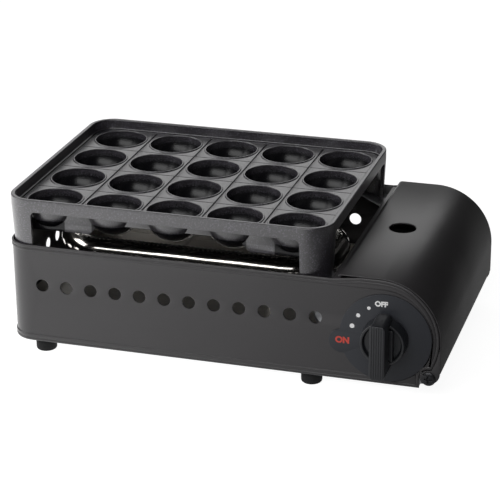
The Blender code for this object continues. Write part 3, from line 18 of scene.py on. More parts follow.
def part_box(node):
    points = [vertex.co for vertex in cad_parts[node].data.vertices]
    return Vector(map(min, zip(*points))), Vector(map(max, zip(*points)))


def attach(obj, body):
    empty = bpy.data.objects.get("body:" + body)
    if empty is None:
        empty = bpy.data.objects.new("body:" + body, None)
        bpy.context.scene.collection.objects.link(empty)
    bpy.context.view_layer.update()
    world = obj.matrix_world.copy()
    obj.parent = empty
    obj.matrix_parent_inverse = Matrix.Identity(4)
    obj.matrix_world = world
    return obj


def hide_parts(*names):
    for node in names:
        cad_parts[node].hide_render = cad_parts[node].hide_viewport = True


bl_info = {
    "name": "Takoyaki cooker",
    "version": (1, 0, 0),
    "blender": (4, 5, 0),
    "location": "3D View > Sidebar > Cooker",
    "description": "Castings, painted sheets, knob and finishes of a table-top gas cooker",
    "category": "Object",
}

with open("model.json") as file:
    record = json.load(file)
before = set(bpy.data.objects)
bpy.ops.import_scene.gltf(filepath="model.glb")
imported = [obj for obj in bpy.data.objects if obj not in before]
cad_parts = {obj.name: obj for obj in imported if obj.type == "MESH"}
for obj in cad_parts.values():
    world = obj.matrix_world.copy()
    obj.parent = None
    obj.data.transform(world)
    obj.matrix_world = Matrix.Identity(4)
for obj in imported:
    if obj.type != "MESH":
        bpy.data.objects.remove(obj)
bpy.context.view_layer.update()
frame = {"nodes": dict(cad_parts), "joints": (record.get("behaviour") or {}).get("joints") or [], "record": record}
JOINTS = {joint["name"]: joint for joint in frame["joints"]}

# Places read from the frame, in metres
PLATE_LOW, PLATE_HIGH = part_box("cooking_plate")
PLATE_X, PLATE_Y = (PLATE_LOW.x + PLATE_HIGH.x) / 2, (PLATE_LOW.y + PLATE_HIGH.y) / 2
PLATE_HALF_X, PLATE_HALF_Y = (PLATE_HIGH.x - PLATE_LOW.x) / 2, (PLATE_HIGH.y - PLATE_LOW.y) / 2
RIM_TOP, LEG_END = PLATE_HIGH.z, PLATE_LOW.z
SHELL_LOW, SHELL_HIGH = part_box("body_shell")
COVER_LOW, COVER_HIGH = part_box("cartridge_cover")
HINGE_X, _, HINGE_Z = JOINTS["cover_hinge"]["pos_m"]
KNOB_X, DIAL_FRONT_Y, KNOB_Z = JOINTS["knob_turn"]["pos_m"]
FACE_Y = (SHELL_HIGH.y - SHELL_LOW.y) / 2

# Cooking plate
CUP_PITCH = 0.0506
CUP_COLUMNS = 5
CUP_ROWS = 4
CUP_RADIUS = 0.0218
CUP_WALL = 0.0026
RIM_HEIGHT = 0.0086
RIM_WALL = 0.0036
PLATE_CORNER = 0.0210
DECK_THICKNESS = 0.0024
DECK_RISE = 0.0297
LEG_WALL = 0.0030
LEG_WIDTH = 0.0232
LEG_DRAW = 0.0014               # the legs stand this far inside the rim at the body's edge
ARCH_DROP = 0.0016              # from the deck down to the top of an arch
ARCH_CORNER = 0.0045
ARCH_STEPS = 9                  # points round an arch's corner
LEVEL_STEPS = 8                 # points from there to the arch's middle
BEND_STEPS = 14                 # runs round a corner of the plate
CAST_EDGE = 0.0006              # rounding of the casting's lower edges
EDGE_MIDDLE = 0.3               # where a rounded edge is halfway round, 1 - cos 45
EDGE_CHAMFER = 0.6              # chamfer on the legs' inner side, as a share of that rounding
WALL_STEPS = (0.25, 0.5, 0.75)  # rings between a leg's end and the deck
RIM_EDGE = 0.0011               # rounding of its rim
RIM_FILLET = 0.0012             # where the deck turns up into the rim
FILLET_DIP = 0.0002             # its end dips under the deck
RIM_MARGIN = 0.0030             # from the rim's wall to the low ridge beside it
RIDGE = 0.0004
RIDGE_WIDTH = 0.0008
GROOVE_WIDE = 0.0008            # half widths
GROOVE_NARROW = 0.00045
GROOVE_STEPS = ((0, 1), (0.6, 1), (0.95, 0.15), (1.35, 0))  # across in half widths, and share of the depth
# A cup's lip, from outside in, as shares of its width and height
LIP_STEPS = ((1.0, 0.0), (0.85, 0.45), (0.65, 0.92), (0.4, 1.0), (0.15, 0.85), (0.0, 0.2))
BOWL_START = 0.02               # radians down from the lip to the bowl's first ring
RIB_OFFSET = 0.0150
RIB_WALL = 0.0026
RIB_SHORT = 0.0115
RIB_TALL = 0.0212
RIB_TALL_START = 0.0608
RIB_CHAMFER = 0.0060
RIB_STEPS = 321                 # points along a rib
DECK_Z = RIM_TOP - RIM_HEIGHT
CELL_STEPS = 16                 # points on each side of a cup's square of deck
BOWL_RINGS = 18
BACK_RINGS = 10

# Body
BODY_TOP = DECK_Z - DECK_RISE
BODY_LOW = BODY_TOP - 0.0840
BODY_LEFT = SHELL_LOW.x
BODY_CORNER = 0.0200
BODY_SHEET = 0.0010
BAND_PROUD = 0.0007
TOP_BAND = 0.0050
BOTTOM_BAND = 0.0057
VENT_COUNT = 12
VENT_SIDE_COUNT = 7
VENT_PITCH = 0.0207
VENT_RADIUS = 0.0052
VENT_DROP = 0.0344
VENT_ROW_SHIFT = 0.0103
PARTITION_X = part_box("bay_partition")[0].x
PANEL_RAMP = 0.0148
PANEL_BAND_SIDE = 0.0052
PANEL_BAND_CORNER = 0.0400
HINGE_CLEAR = 0.0073
DIAL_RADIUS = 0.0363

# Cover
COVER_SHEET = 0.0010
COVER_RADIUS = 0.0488
COVER_LIP_RUN = 0.0016
COVER_LIP_DROP = 0.0010
COVER_HOLE_RADIUS = 0.0108
COVER_HOLE_SHIFT = 0.0267
COVER_HOLE_MARGIN = 0.0015      # from the finger hole to the square round it
COVER_SIDE_LIFT = 0.0052
EAR_SHEET = 0.0012
EAR_KNUCKLE = 0.0069
EAR_INSET = 0.0002
EAR_CORNER_LIFT = 0.0042
EAR_TOP_ANGLE = -8.0
COVER_LEFT, COVER_RIGHT, COVER_TOP = COVER_LOW.x, COVER_HIGH.x, COVER_HIGH.z
ROUND_X, ROUND_Z = COVER_RIGHT - COVER_RADIUS, COVER_TOP - COVER_RADIUS
COVER_INSIDE = COVER_RADIUS - COVER_SHEET
PANEL_RADIUS = SHELL_HIGH.z - ROUND_Z
PANEL_RIGHT = HINGE_X - HINGE_CLEAR

# Dial and knob
DIAL_THICKNESS = 0.0008
DIAL_HOLE = 0.0050
LOBE_RADIUS = 0.0098
LOBE_SHIFT = 0.0350
LOBE_DROP = 0.0064
INK = 0.00005                   # thickness of the printed marks
DOT_RING = 0.0274
DOT_ANGLES = (29, 52, 74)       # degrees left of the top
DOT_RADII = (0.00140, 0.00165, 0.00190)
DOT_STEPS = 24
LETTER_DEPTH = 0.5              # both before the word is scaled
LETTER_BOLD = 0.05
OFF_PLACE = (-0.0035, 0.0284)   # from the knob's axis
ON_PLACE = (-0.0340, -0.0053)
KNOB_RADIUS = 0.0184
KNOB_DEPTH = 0.0115
KNOB_RIM = 0.0020
KNOB_RECESS = 0.0035
KNOB_TAPER = 0.0010
KNOB_LIFT = 0.0005
BAR_LENGTH = 0.0453
BAR_WIDTH = 0.0121
BAR_DEPTH = 0.0290
BAR_BACK = 0.0035
BAR_CORNER = 0.0030
BAR_STRAIGHT = (0, 0.3)         # rings along the bar, as shares of its depth: first straight, then drawn in
BAR_DRAWN = (0.5, 0.7, 0.85)
BAR_EDGE_STEPS = 5
BAR_CORNER_STEPS = 6
BORE_SHARE = 0.75               # the knob's bore as a share of the dial's hole
KNOB_EDGES = (0.0004, 0.0007, 0.0006, 0.0009)   # rounding of the base, from its back round to its sunk face
RECESS_DRAW = 0.6               # how far the sunk face's wall leans in, as a share of the base's taper
BLOCK_CORNER = 0.0006
BLOCK_EDGE = 0.0007
BLOCK_SINK = 0.0005             # how far the block reaches into the bar and the base
GRIP_COUNT = 6
GRIP_HALF = 0.32                # half width and corner of a grip rib, as shares of their pitch
GRIP_CORNER = 0.3
GRIP_EDGE = 0.8                 # its rounding as a share of its height
GRIP_SINK = 0.0002

# Feet, screws and burner
FOOT_BORE = 0.0025
FOOT_EDGE = 0.0024
FOOT_MOUTH = 1.4                # the bore's mouth as a share of the bore
MOUTH_EDGE = 0.0006
SCREW_SHANK = 0.0020
DOME_RINGS = (0.97, 0.85, 0.7, 0.55, 0.45, 0.4, 0.3, 0.15, 0.0)    # shares of a screw head's radius
CROSS_REACH = 0.5               # a cross recess: its arms' length as a share of that radius
CROSS_MIDDLE = 0.16
CROSS_DEPTH = 0.7
ARM_HEIGHT, ARM_POWER = 1.6, 8  # an arm's cross-section is 1.6 cos^8, cut off at 1
HINGE_GAP = 0.0003
BURNER_SHEET = 0.0009
BURNER_CORNER = 0.0360
BURNER_DRAW = 0.0042
BURNER_GAP = 0.0003
SPLIT_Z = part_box("burner_lower_shell")[1].z + BURNER_GAP
BURNER_STEPS = 720              # places along the channel
BURNER_ARC = 33                 # points across its upper half
BURNER_EDGES = (0.002, 0.0025, 0.0025, 0.002)   # rounding of the lower half's corners
PORT_ANGLES = (78, 128)         # degrees up from the channel's outer side
PORT_STEP = 5
PORT_SIDES = 8
PORT_PROFILE = ((0.00125, -0.0001), (0.00105, 0.0003), (0.0008, 0.0004), (0.0006, 0.0003), (0, 0.00005))

# Stage
FLOOR_HALF = 3.0
FLOOR_FADE = 0.24               # from the middle to where the floor's reflected light stops changing
SENSOR = 36                     # millimetres
VIEW_END = 20
# Where each lamp stands, where it looks and how large it is
LAMPS = {
    "back": ((-0.65, 2.0, 1.18), (0, 0, 0.1), (2.3, 1.10)),
    "side": ((-1.6, -0.5, 0.8), (0, 0, 0.06), (1.2, 1.2)),
    "strip": ((-0.2, -1.2, 1.04), (0, 0, 0.06), (1.8, 0.70)),
}

AXIS_ORDER = {"X": (2, 0, 1), "Y": (0, 2, 1), "Z": (0, 1, 2)}   # which of (a, b, height) are x, y and z
WELD = 0.000002                 # points closer than this are one
FILL_SCALE = 1000               # flat faces are cut into triangles in millimetres
TURN_STEPS = 96                 # sides of a turned piece
ARC_STEPS = 24                  # runs in a quarter turn of sheet


# Surfaces
class Shape:
    """One piece's points and faces, gathered patch by patch as whole arrays."""

    def __init__(self):
        self.points = []
        self.faces = []
        self.count = 0

    def add(self, points, faces):
        points = np.asarray(points, float).reshape(-1, 3)
        self.points.append(points)
        self.faces += (np.asarray(faces, int) + self.count).tolist()
        self.count += len(points)

    def grid(self, points, wrap=False):
        """A surface P(i, j) on a grid, a quad in each cell; wrap joins its last column to its first."""
        rows, columns = points.shape[:2]
        index = np.arange(rows * columns).reshape(rows, columns)
        if wrap:
            index = np.column_stack((index, index[:, 0]))
        quads = np.stack((index[:-1, :-1], index[:-1, 1:], index[1:, 1:], index[1:, :-1]), -1)
        self.add(points, quads.reshape(-1, 4))

    def fill(self, loops, place):
        """A flat face inside the first outline and outside the others; place carries (a, b) to (x, y, z)."""
        flat = [[(a, b, 0) for a, b in np.asarray(loop) * FILL_SCALE] for loop in loops]
        self.add(place(np.vstack(loops)), tessellate_polygon(flat))


def arc(centre, radius, start, end, steps):
    """Points c + r (cos t, sin t) for t from start to end degrees, both ends included."""
    turn = np.radians(np.linspace(start, end, steps + 1))
    return np.column_stack((centre[0] + radius * np.cos(turn), centre[1] + radius * np.sin(turn)))


def rounded(low, high, corner, steps=8):
    """An anticlockwise rectangle between two corners, each corner a quarter circle."""
    ends = ((high[0] - corner, low[1] + corner, -90), (high[0] - corner, high[1] - corner, 0),
            (low[0] + corner, high[1] - corner, 90), (low[0] + corner, low[1] + corner, 180))
    return np.vstack([arc((x, y), corner, start, start + 90, steps) for x, y, start in ends])


def inset(loop, distance):
    """A closed anticlockwise outline moved inwards: p + d (n1 + n2) / (1 + n1.n2) for its edge normals.

    The distance is one number, or a column with one for each point.
    """
    edge = np.roll(loop, -1, 0) - loop
    normal = np.column_stack((-edge[:, 1], edge[:, 0]))
    normal /= np.linalg.norm(normal, axis=1)[:, None]
    before = np.roll(normal, 1, 0)
    mitre = (normal + before) / (1 + (normal * before).sum(1))[:, None]
    return loop + mitre * distance


def on_axis(axis):
    """How (a, b) at height h becomes (x, y, z): the height runs along the axis."""
    def place(loop, height=0.0):
        loop = np.asarray(loop, float)
        full = np.column_stack((loop, np.full(len(loop), height)))
        return full[:, AXIS_ORDER[axis]]
    return place


def prism(shape, loop, axis, low, high, edge, steps=3):
    """An outline carried along an axis, its two edges rounded: inset e (1 - sin t), height e (1 - cos t)."""
    place = on_axis(axis)
    turn = np.linspace(0, math.pi / 2, steps + 1)
    first = [place(inset(loop, edge * (1 - math.sin(t))), low + edge * (1 - math.cos(t))) for t in turn]
    last = [place(inset(loop, edge * (1 - math.sin(t))), high - edge * (1 - math.cos(t))) for t in turn[::-1]]
    shape.grid(np.stack(first + last), wrap=True)
    cap = inset(loop, edge)
    shape.fill([cap], lambda flat: place(flat, low))
    shape.fill([cap], lambda flat: place(flat, high))


def both_ends(shape, loop, start, stop, edge):
    """An outline in (x, z) carried from one depth to another, at the cooker's front and at its back."""
    for way in (-1, 1):
        near, far = sorted((way * (FACE_Y - start), way * (FACE_Y - stop)))
        prism(shape, loop, "Y", PLATE_Y + near, PLATE_Y + far, edge, 2)


def turned(shape, profile, axis, centre, steps=TURN_STEPS):
    """A profile of radius r and height h turned once: (r cos t, r sin t, h) round the axis."""
    profile = np.asarray(profile, float)
    turn = np.linspace(0, 2 * math.pi, steps, endpoint=False)
    flat = np.stack((np.outer(profile[:, 0], np.cos(turn)), np.outer(profile[:, 0], np.sin(turn)),
                     np.repeat(profile[:, 1:], steps, 1)), -1)
    shape.grid(flat[:, :, AXIS_ORDER[axis]] + np.asarray(centre), wrap=True)


def corner_profile(points, radii, steps=5):
    """A profile of straight runs whose corners are rounded by quadratic curves of the given reach."""
    points = np.asarray(points, float)
    out = [points[:1]]
    for before, corner, after, reach in zip(points, points[1:], points[2:], radii):
        start = corner + (before - corner) / np.linalg.norm(before - corner) * reach
        end = corner + (after - corner) / np.linalg.norm(after - corner) * reach
        t = np.linspace(0, 1, steps + 1)[:, None]
        out.append(start * (1 - t) ** 2 + corner * 2 * t * (1 - t) + end * t ** 2)
    return np.vstack(out + [points[-1:]])


def make_piece(shape, name, material, body, nodes=(), crease=35.0):
    """Weld a shape, turn its faces outwards and put it on its body in its nodes' place."""
    mesh = bpy.data.meshes.new(name)
    mesh.from_pydata(np.vstack(shape.points).tolist(), [], shape.faces)
    work = bmesh.new()
    work.from_mesh(mesh)
    bmesh.ops.remove_doubles(work, verts=work.verts, dist=WELD)
    bmesh.ops.dissolve_degenerate(work, edges=work.edges, dist=WELD)
    bmesh.ops.recalc_face_normals(work, faces=work.faces)
    work.to_mesh(mesh)
    work.free()
    mesh.shade_smooth()
    mesh.set_sharp_from_angle(angle=math.radians(crease))
    mesh.materials.append(material)
    item = bpy.data.objects.new(name, mesh)
    bpy.context.scene.collection.objects.link(item)
    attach(item, body)
    if nodes:
        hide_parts(*nodes)
    return item


# Finishes
NOISE_LOW, NOISE_HIGH = 0.3, 0.7        # noise lies mostly between these
NOISE_DETAIL = 2.0
SPECK_EDGE = 0.08               # rise of the noise over which a speck fades in
LEAST_ROUGHNESS = 0.02
RELIEF_DEPTH = 0.0002
COLOUR_A, COLOUR_B, COLOUR_OUT = 6, 7, 2    # a Mix node's sockets for colours
# What each finish has beside the settings: patch and grain are scales of noise, the rest shares and colours
LOOKS = {
    "plate_coating": dict(patch=25, patch_depth=0.1, grain=1100, speck_share=0.56, relief=0.35),
    "body_paint": dict(patch=18, patch_depth=0.05, grain=3200, speck_share=0.66, relief=0.12),
    "dial_print": dict(specular=0.35, patch=40, patch_depth=0.05, grain=2600, relief=0.05),
    "mark_white": dict(roughness=0.5, patch_depth=0.03, relief=0.05),
    "mark_red": dict(roughness=0.5, patch_depth=0.03, relief=0.05),
    "knob_plastic": dict(patch_depth=0.06, grain=1900, relief=0.12),
    "rubber": dict(colour=(0.014, 0.014, 0.015), roughness=0.75, specular=0.25, patch=120, grain=1400,
                   relief=0.3),
    "screw_black": dict(colour=(0.030, 0.030, 0.033), roughness=0.32, metallic=0.6, patch=200,
                        patch_depth=0.2, grain=2500, relief=0.1),
    "burner_steel": dict(metallic=1.0, patch=25, grain=900, relief=0.0, gloss_spread=0.02),
    "stainless": dict(metallic=0.1, patch=25, grain=900, relief=0.05),
    "zinc_plate": dict(roughness=0.42, metallic=1.0, patch=45, patch_depth=0.18, grain=700, relief=0.1),
    "valve_casting": dict(colour=(0.55, 0.56, 0.57), roughness=0.5, metallic=1.0, patch=90, grain=900,
                          relief=0.35),
    "brass": dict(colour=(0.68, 0.50, 0.24), roughness=0.33, metallic=1.0, patch=150, grain=1200,
                  relief=0.08),
    "magnet": dict(colour=(0.12, 0.12, 0.13), roughness=0.55, metallic=0.6, patch=200),
    "igniter_plastic": dict(colour=(0.40, 0.05, 0.04), roughness=0.45, patch=120),
    "lead_sleeve": dict(colour=(0.58, 0.56, 0.52), roughness=0.55, patch=200),
    "ceramic": dict(colour=(0.80, 0.78, 0.73), roughness=0.35, patch=150, patch_depth=0.05, relief=0.05),
}


def new_material(name):
    material = bpy.data.materials.get(name) or bpy.data.materials.new(name)
    material.use_nodes = True
    nodes = material.node_tree.nodes
    nodes.clear()
    out = nodes.new("ShaderNodeOutputMaterial")
    shader = nodes.new("ShaderNodeBsdfPrincipled")
    material.node_tree.links.new(shader.outputs["BSDF"], out.inputs["Surface"])
    return material, nodes, material.node_tree.links, shader


def places(nodes, links):
    """The x, y and z of Object coordinates."""
    place = nodes.new("ShaderNodeTexCoord")
    parts = nodes.new("ShaderNodeSeparateXYZ")
    links.new(place.outputs["Object"], parts.inputs["Vector"])
    return parts.outputs


def noise(nodes, links, scale):
    """Noise on Object coordinates."""
    place = nodes.new("ShaderNodeTexCoord")
    texture = nodes.new("ShaderNodeTexNoise")
    texture.inputs["Scale"].default_value = scale
    texture.inputs["Detail"].default_value = NOISE_DETAIL
    links.new(place.outputs["Object"], texture.inputs["Vector"])
    return texture.outputs["Fac"]


def spread(nodes, links, value, low, high, start=NOISE_LOW, end=NOISE_HIGH):
    """A value from start to end carried to low to high."""
    node = nodes.new("ShaderNodeMapRange")
    for name, number in (("From Min", start), ("From Max", end), ("To Min", low), ("To Max", high)):
        node.inputs[name].default_value = number
    links.new(value, node.inputs["Value"])
    return node.outputs["Result"]


def mixed(nodes, links, factor, first, second):
    """A colour between two, each a colour or a socket."""
    node = nodes.new("ShaderNodeMix")
    node.data_type = "RGBA"
    links.new(factor, node.inputs["Factor"])
    for socket, colour in ((node.inputs[COLOUR_A], first), (node.inputs[COLOUR_B], second)):
        if isinstance(colour, bpy.types.NodeSocket):
            links.new(colour, socket)
        else:
            socket.default_value = (*colour, 1)
    return node.outputs[COLOUR_OUT]


def joined(nodes, links, first, second, operation="MULTIPLY"):
    """Two values multiplied, or joined by another operation; the second is a socket or a number."""
    node = nodes.new("ShaderNodeMath")
    node.operation = operation
    links.new(first, node.inputs[0])
    if isinstance(second, bpy.types.NodeSocket):
        links.new(second, node.inputs[1])
    else:
        node.inputs[1].default_value = second
    return node.outputs["Value"]


def finish(name, **given):
    """The material of a finish by its name: its look, and what the settings give."""
    return surface(name, **LOOKS[name], **given)


def surface(name, colour, roughness, metallic=0.0, specular=0.5, patch=60.0, patch_depth=0.12,
            grain=1500.0, speck=None, speck_share=0.62, relief=0.15, gloss_spread=0.06):
    """A colour that drifts in soft patches, with a fine grain, specks if asked and a slight relief."""
    material, nodes, links, shader = new_material(name)
    dark = tuple(max(part * (1 - patch_depth), 0) for part in colour)
    light = tuple(min(part * (1 + patch_depth), 1) for part in colour)
    base = mixed(nodes, links, spread(nodes, links, noise(nodes, links, patch), 0, 1), dark, light)
    fine = noise(nodes, links, grain)
    if speck:
        shown = spread(nodes, links, fine, 0, 1, speck_share, speck_share + SPECK_EDGE)
        base = mixed(nodes, links, shown, base, speck)
    links.new(base, shader.inputs["Base Color"])
    drift = spread(nodes, links, fine, max(roughness - gloss_spread, LEAST_ROUGHNESS),
                   min(roughness + gloss_spread, 1))
    links.new(drift, shader.inputs["Roughness"])
    bump = nodes.new("ShaderNodeBump")
    bump.inputs["Strength"].default_value = relief
    bump.inputs["Distance"].default_value = RELIEF_DEPTH
    links.new(fine, bump.inputs["Height"])
    links.new(bump.outputs["Normal"], shader.inputs["Normal"])
    shader.inputs["Metallic"].default_value = metallic
    shader.inputs["Specular IOR Level"].default_value = specular
    return material


# Cooking plate
def deck_outline(column, row):
    """The square of deck round one cup, anticlockwise, and a mask that is 1 along its grooved sides.

    An outer side lies inside the rim's wall instead, and an outer corner is drawn in to the rim's round.
    """
    x, y = cup_centre(column, row)
    reach_x, reach_y = PLATE_HALF_X - RIM_WALL / 2, PLATE_HALF_Y - RIM_WALL / 2
    inner = np.array([column < CUP_COLUMNS - 1, row < CUP_ROWS - 1, column > 0, row > 0])
    right, top, left, bottom = np.where(
        inner, (x + CUP_PITCH / 2, y + CUP_PITCH / 2, x - CUP_PITCH / 2, y - CUP_PITCH / 2),
        (reach_x, reach_y, -reach_x, -reach_y))
    corners = np.array([(right, bottom), (right, top), (left, top), (left, bottom)])
    step = np.linspace(0, 1, CELL_STEPS, endpoint=False)[:, None]
    points = np.vstack([a + (b - a) * step for a, b in zip(corners, np.roll(corners, -1, 0))])
    mask = np.repeat(inner, CELL_STEPS).astype(float)
    mask[::CELL_STEPS] = np.maximum(inner, np.roll(inner, 1))
    round_corner = PLATE_CORNER - RIM_WALL / 2
    past = np.abs(points) - (np.array((reach_x, reach_y)) - round_corner)
    length = np.linalg.norm(past, axis=1)
    outside = (past > 0).all(1) & (length > round_corner)
    shrunk = past * (round_corner / np.maximum(length, WELD))[:, None]
    drawn = np.sign(points) * (np.abs(points) - past + shrunk)
    return np.where(outside[:, None], drawn, points), mask


def cup_centre(column, row):
    return (column - (CUP_COLUMNS - 1) / 2) * CUP_PITCH, (row - (CUP_ROWS - 1) / 2) * CUP_PITCH


def cup(shape, column, row, settings):
    """One cup with its square of deck, above and below.

    From the square's edge the rings step over the groove, blend into circles about the cup's middle,
    rise over the lip and go down the ball r = R cos t, z = -R sin t to its lowest point. The back is a
    larger ball about the same middle.
    """
    edge, mask = deck_outline(column, row)
    centre = np.array(cup_centre(column, row))
    spoke = edge - centre
    way = spoke / np.linalg.norm(spoke, axis=1)[:, None]
    half = CUP_PITCH / 2
    groove = np.array((GROOVE_WIDE, GROOVE_NARROW))
    rings = []
    for share, depth in GROOVE_STEPS:
        rings.append((centre + spoke * (1 - groove * share / half), -settings.groove_depth * depth * mask))
    for across, rise in LIP_STEPS:
        rings.append((centre + way * (CUP_RADIUS + settings.lip_width * across), settings.lip_height * rise))
    for turn in np.linspace(BOWL_START, math.pi / 2, BOWL_RINGS):
        rings.append((centre + way * CUP_RADIUS * math.cos(turn), -CUP_RADIUS * math.sin(turn)))
    shape.grid(deck_rings(rings), wrap=True)

    back = CUP_RADIUS + CUP_WALL
    start = math.asin(DECK_THICKNESS / back)
    rings = [(edge, -DECK_THICKNESS * mask - ARCH_DROP / 2 * (1 - mask)), (edge, -DECK_THICKNESS)]
    for turn in np.linspace(start, math.pi / 2, BACK_RINGS):
        rings.append((centre + way * back * math.cos(turn), -back * math.sin(turn)))
    shape.grid(deck_rings(rings), wrap=True)


def deck_rings(rings):
    """Rings of (x, y) about the plate's middle, each at its height over the deck."""
    stack = [np.column_stack((flat + (PLATE_X, PLATE_Y), np.full(len(flat), DECK_Z) + height))
             for flat, height in rings]
    return np.stack(stack)


def skirt_columns():
    """Round the plate's outline: each column's place, outward normal and lowest point.

    Along a side the lowest point is the leg's end, then the arch: z = top - R + R sin t at
    R (1 - cos t) past the leg, then level.
    """
    places, normals, ends = [], [], []
    arch_top = DECK_Z - ARCH_DROP
    turn = np.linspace(0, math.pi / 2, ARCH_STEPS)
    sides = ((PLATE_HALF_Y, PLATE_HALF_X, (1, 0), (0, -1)), (PLATE_HALF_X, PLATE_HALF_Y, (0, 1), (1, 0)),
             (PLATE_HALF_Y, PLATE_HALF_X, (-1, 0), (0, 1)), (PLATE_HALF_X, PLATE_HALF_Y, (0, -1), (-1, 0)))
    for out, half, along, normal in sides:
        half_open, straight = half - LEG_WIDTH, half - PLATE_CORNER
        bend = -half_open + ARCH_CORNER * (1 - np.cos(turn))
        rise = arch_top - ARCH_CORNER * (1 - np.sin(turn))
        level = np.linspace(bend[-1], 0, LEVEL_STEPS)[1:]
        left = np.concatenate(((-straight, -half_open - CAST_EDGE / 2), bend, level))
        low = np.concatenate(((LEG_END, LEG_END), rise, np.full(len(level), arch_top)))
        run, low = np.concatenate((left, -left[-2::-1])), np.concatenate((low, low[-2::-1]))
        places.append(np.outer(run, along) + np.array(normal) * out)
        normals.append(np.repeat([normal], len(run), 0))
        ends.append(low)
        first = math.degrees(math.atan2(normal[1], normal[0]))
        corner = np.array(normal) * (out - PLATE_CORNER) + np.array(along) * straight
        bow = arc((0, 0), 1, first, first + 90, BEND_STEPS)[1:-1]
        places.append(corner + bow * PLATE_CORNER)
        normals.append(bow)
        ends.append(np.full(len(bow), LEG_END))
    return np.vstack(places), np.vstack(normals).astype(float), np.concatenate(ends)


def skirt(shape):
    """The rim, the walls under it and the legs: one closed profile carried round the plate.

    The profile is a list of (inset, height); its lower points hang from each column's lowest point.
    Below the deck it is drawn in evenly, down to the body's edge.
    """
    places, normals, ends = skirt_columns()
    edge, chamfer = CAST_EDGE, CAST_EDGE * EDGE_CHAMFER
    lower = [(LEG_WALL / 2, 0), (edge, 0), (edge * EDGE_MIDDLE, edge * EDGE_MIDDLE), (0, edge)]
    near = RIM_WALL + RIM_MARGIN
    far = near + RIDGE_WIDTH
    rim = corner_profile([(0, DECK_Z), (0, RIM_TOP), (RIM_WALL, RIM_TOP), (RIM_WALL, DECK_Z), (near, DECK_Z),
                          (near, DECK_Z + RIDGE), (far, DECK_Z + RIDGE), (far, DECK_Z - FILLET_DIP)],
                         (RIM_EDGE, RIM_EDGE, RIM_FILLET, RIDGE / 2, RIDGE / 2, RIDGE / 2))
    rings = [(a, ends + h) for a, h in lower]
    rings += [(0, ends + edge + (DECK_Z - ends - edge) * share) for share in WALL_STEPS]
    rings += [(a, np.full(len(ends), z)) for a, z in rim]
    under = np.full(len(ends), DECK_Z - ARCH_DROP / 2)
    rings += [(far, under), (LEG_WALL, under)]
    rings += [(LEG_WALL, ends + chamfer), (LEG_WALL - chamfer, ends), (LEG_WALL / 2, ends)]
    stack = []
    for inwards, height in rings:
        draw = LEG_DRAW * np.clip((DECK_Z - height) / DECK_RISE, 0, 1)
        flat = places - normals * (inwards + draw)[:, None]
        stack.append(np.column_stack((flat + (PLATE_X, PLATE_Y), height)))
    shape.grid(np.stack(stack), wrap=True)


def rib(shape, axis, half_span, deep_start, cups, at):
    """A rib under the deck, shallow in the middle and deep by the legs, and left out inside the cups.

    Along the rib a cup takes away a half disc of radius sqrt(R^2 - d^2) for its offset d. What is left
    between the rib's lower edge and those discs is one outline for each run.
    """
    run = np.linspace(-half_span, half_span, RIB_STEPS)
    away = np.abs(run)
    low = np.where(away < deep_start, RIB_SHORT,
                   np.minimum(RIB_TALL, RIB_TALL - RIB_CHAMFER + away - deep_start))
    disc = (CUP_RADIUS + CUP_WALL / 2) ** 2 - RIB_OFFSET ** 2
    taken = np.sqrt(np.maximum(disc - (run[:, None] - cups[None, :]) ** 2, 0)).max(1)
    high = np.maximum(DECK_THICKNESS / 2, taken)
    solid = low > high + CAST_EDGE
    edges = np.flatnonzero(np.diff(np.concatenate(((0,), solid, (0,)))))
    along, across = (PLATE_X, PLATE_Y) if axis == "Y" else (PLATE_Y, PLATE_X)
    for first, last in zip(edges[::2], edges[1::2]):
        part = slice(first, last)
        outline = np.vstack((np.column_stack((run[part], -low[part])),
                             np.column_stack((run[part], -high[part]))[::-1])) + (along, DECK_Z)
        prism(shape, outline, axis, across + at - RIB_WALL / 2, across + at + RIB_WALL / 2, CAST_EDGE / 3, 2)


def paint_cup_shade(material, settings):
    """Paint shade into the cups: the coating's colour is darker inside them, where the nearest cup's axis is
    closer than the radius.
    """
    nodes, links = material.node_tree.nodes, material.node_tree.links
    shader = next(node for node in nodes if node.type == "BSDF_PRINCIPLED")
    parts = places(nodes, links)
    squares, within = [], []
    for axis, middle, count in (("X", PLATE_X, CUP_COLUMNS), ("Y", PLATE_Y, CUP_ROWS)):
        shifted = joined(nodes, links, parts[axis], middle, "SUBTRACT")
        inside = joined(nodes, links, shifted, 0, "COMPARE")
        inside.node.inputs[2].default_value = CUP_PITCH * count / 2
        within.append(inside)
        first = (count - 1) / 2 * CUP_PITCH
        folded = joined(nodes, links, shifted, first, "ADD")
        folded = joined(nodes, links, folded, CUP_PITCH / 2, "PINGPONG")
        squares.append(joined(nodes, links, folded, 2, "POWER"))
    away = joined(nodes, links, joined(nodes, links, *squares, "ADD"), 0.5, "POWER")
    bowl = spread(nodes, links, away, 1, 0, CUP_RADIUS - GROOVE_WIDE, CUP_RADIUS)
    bowl = joined(nodes, links, bowl, joined(nodes, links, *within))
    coated = shader.inputs["Base Color"].links[0].from_socket
    # painted shade: inside the cups the coating's colour is mixed towards a darker colour that stands in for the
    # shade in the bowls
    links.new(mixed(nodes, links, bowl, coated, tuple(settings.cup_colour)), shader.inputs["Base Color"])
    links.new(spread(nodes, links, bowl, settings.sheen, 0, 0, 1), shader.inputs["Coat Weight"])
    shader.inputs["Coat Roughness"].default_value = settings.roughness
    gloss = spread(nodes, links, bowl, settings.gloss, settings.cup_gloss, 0, 1)
    links.new(gloss, shader.inputs["Specular IOR Level"])
    drift = shader.inputs["Roughness"].links[0].from_socket
    smooth = spread(nodes, links, bowl, 1, settings.cup_polish, 0, 1)
    links.new(joined(nodes, links, drift, smooth), shader.inputs["Roughness"])


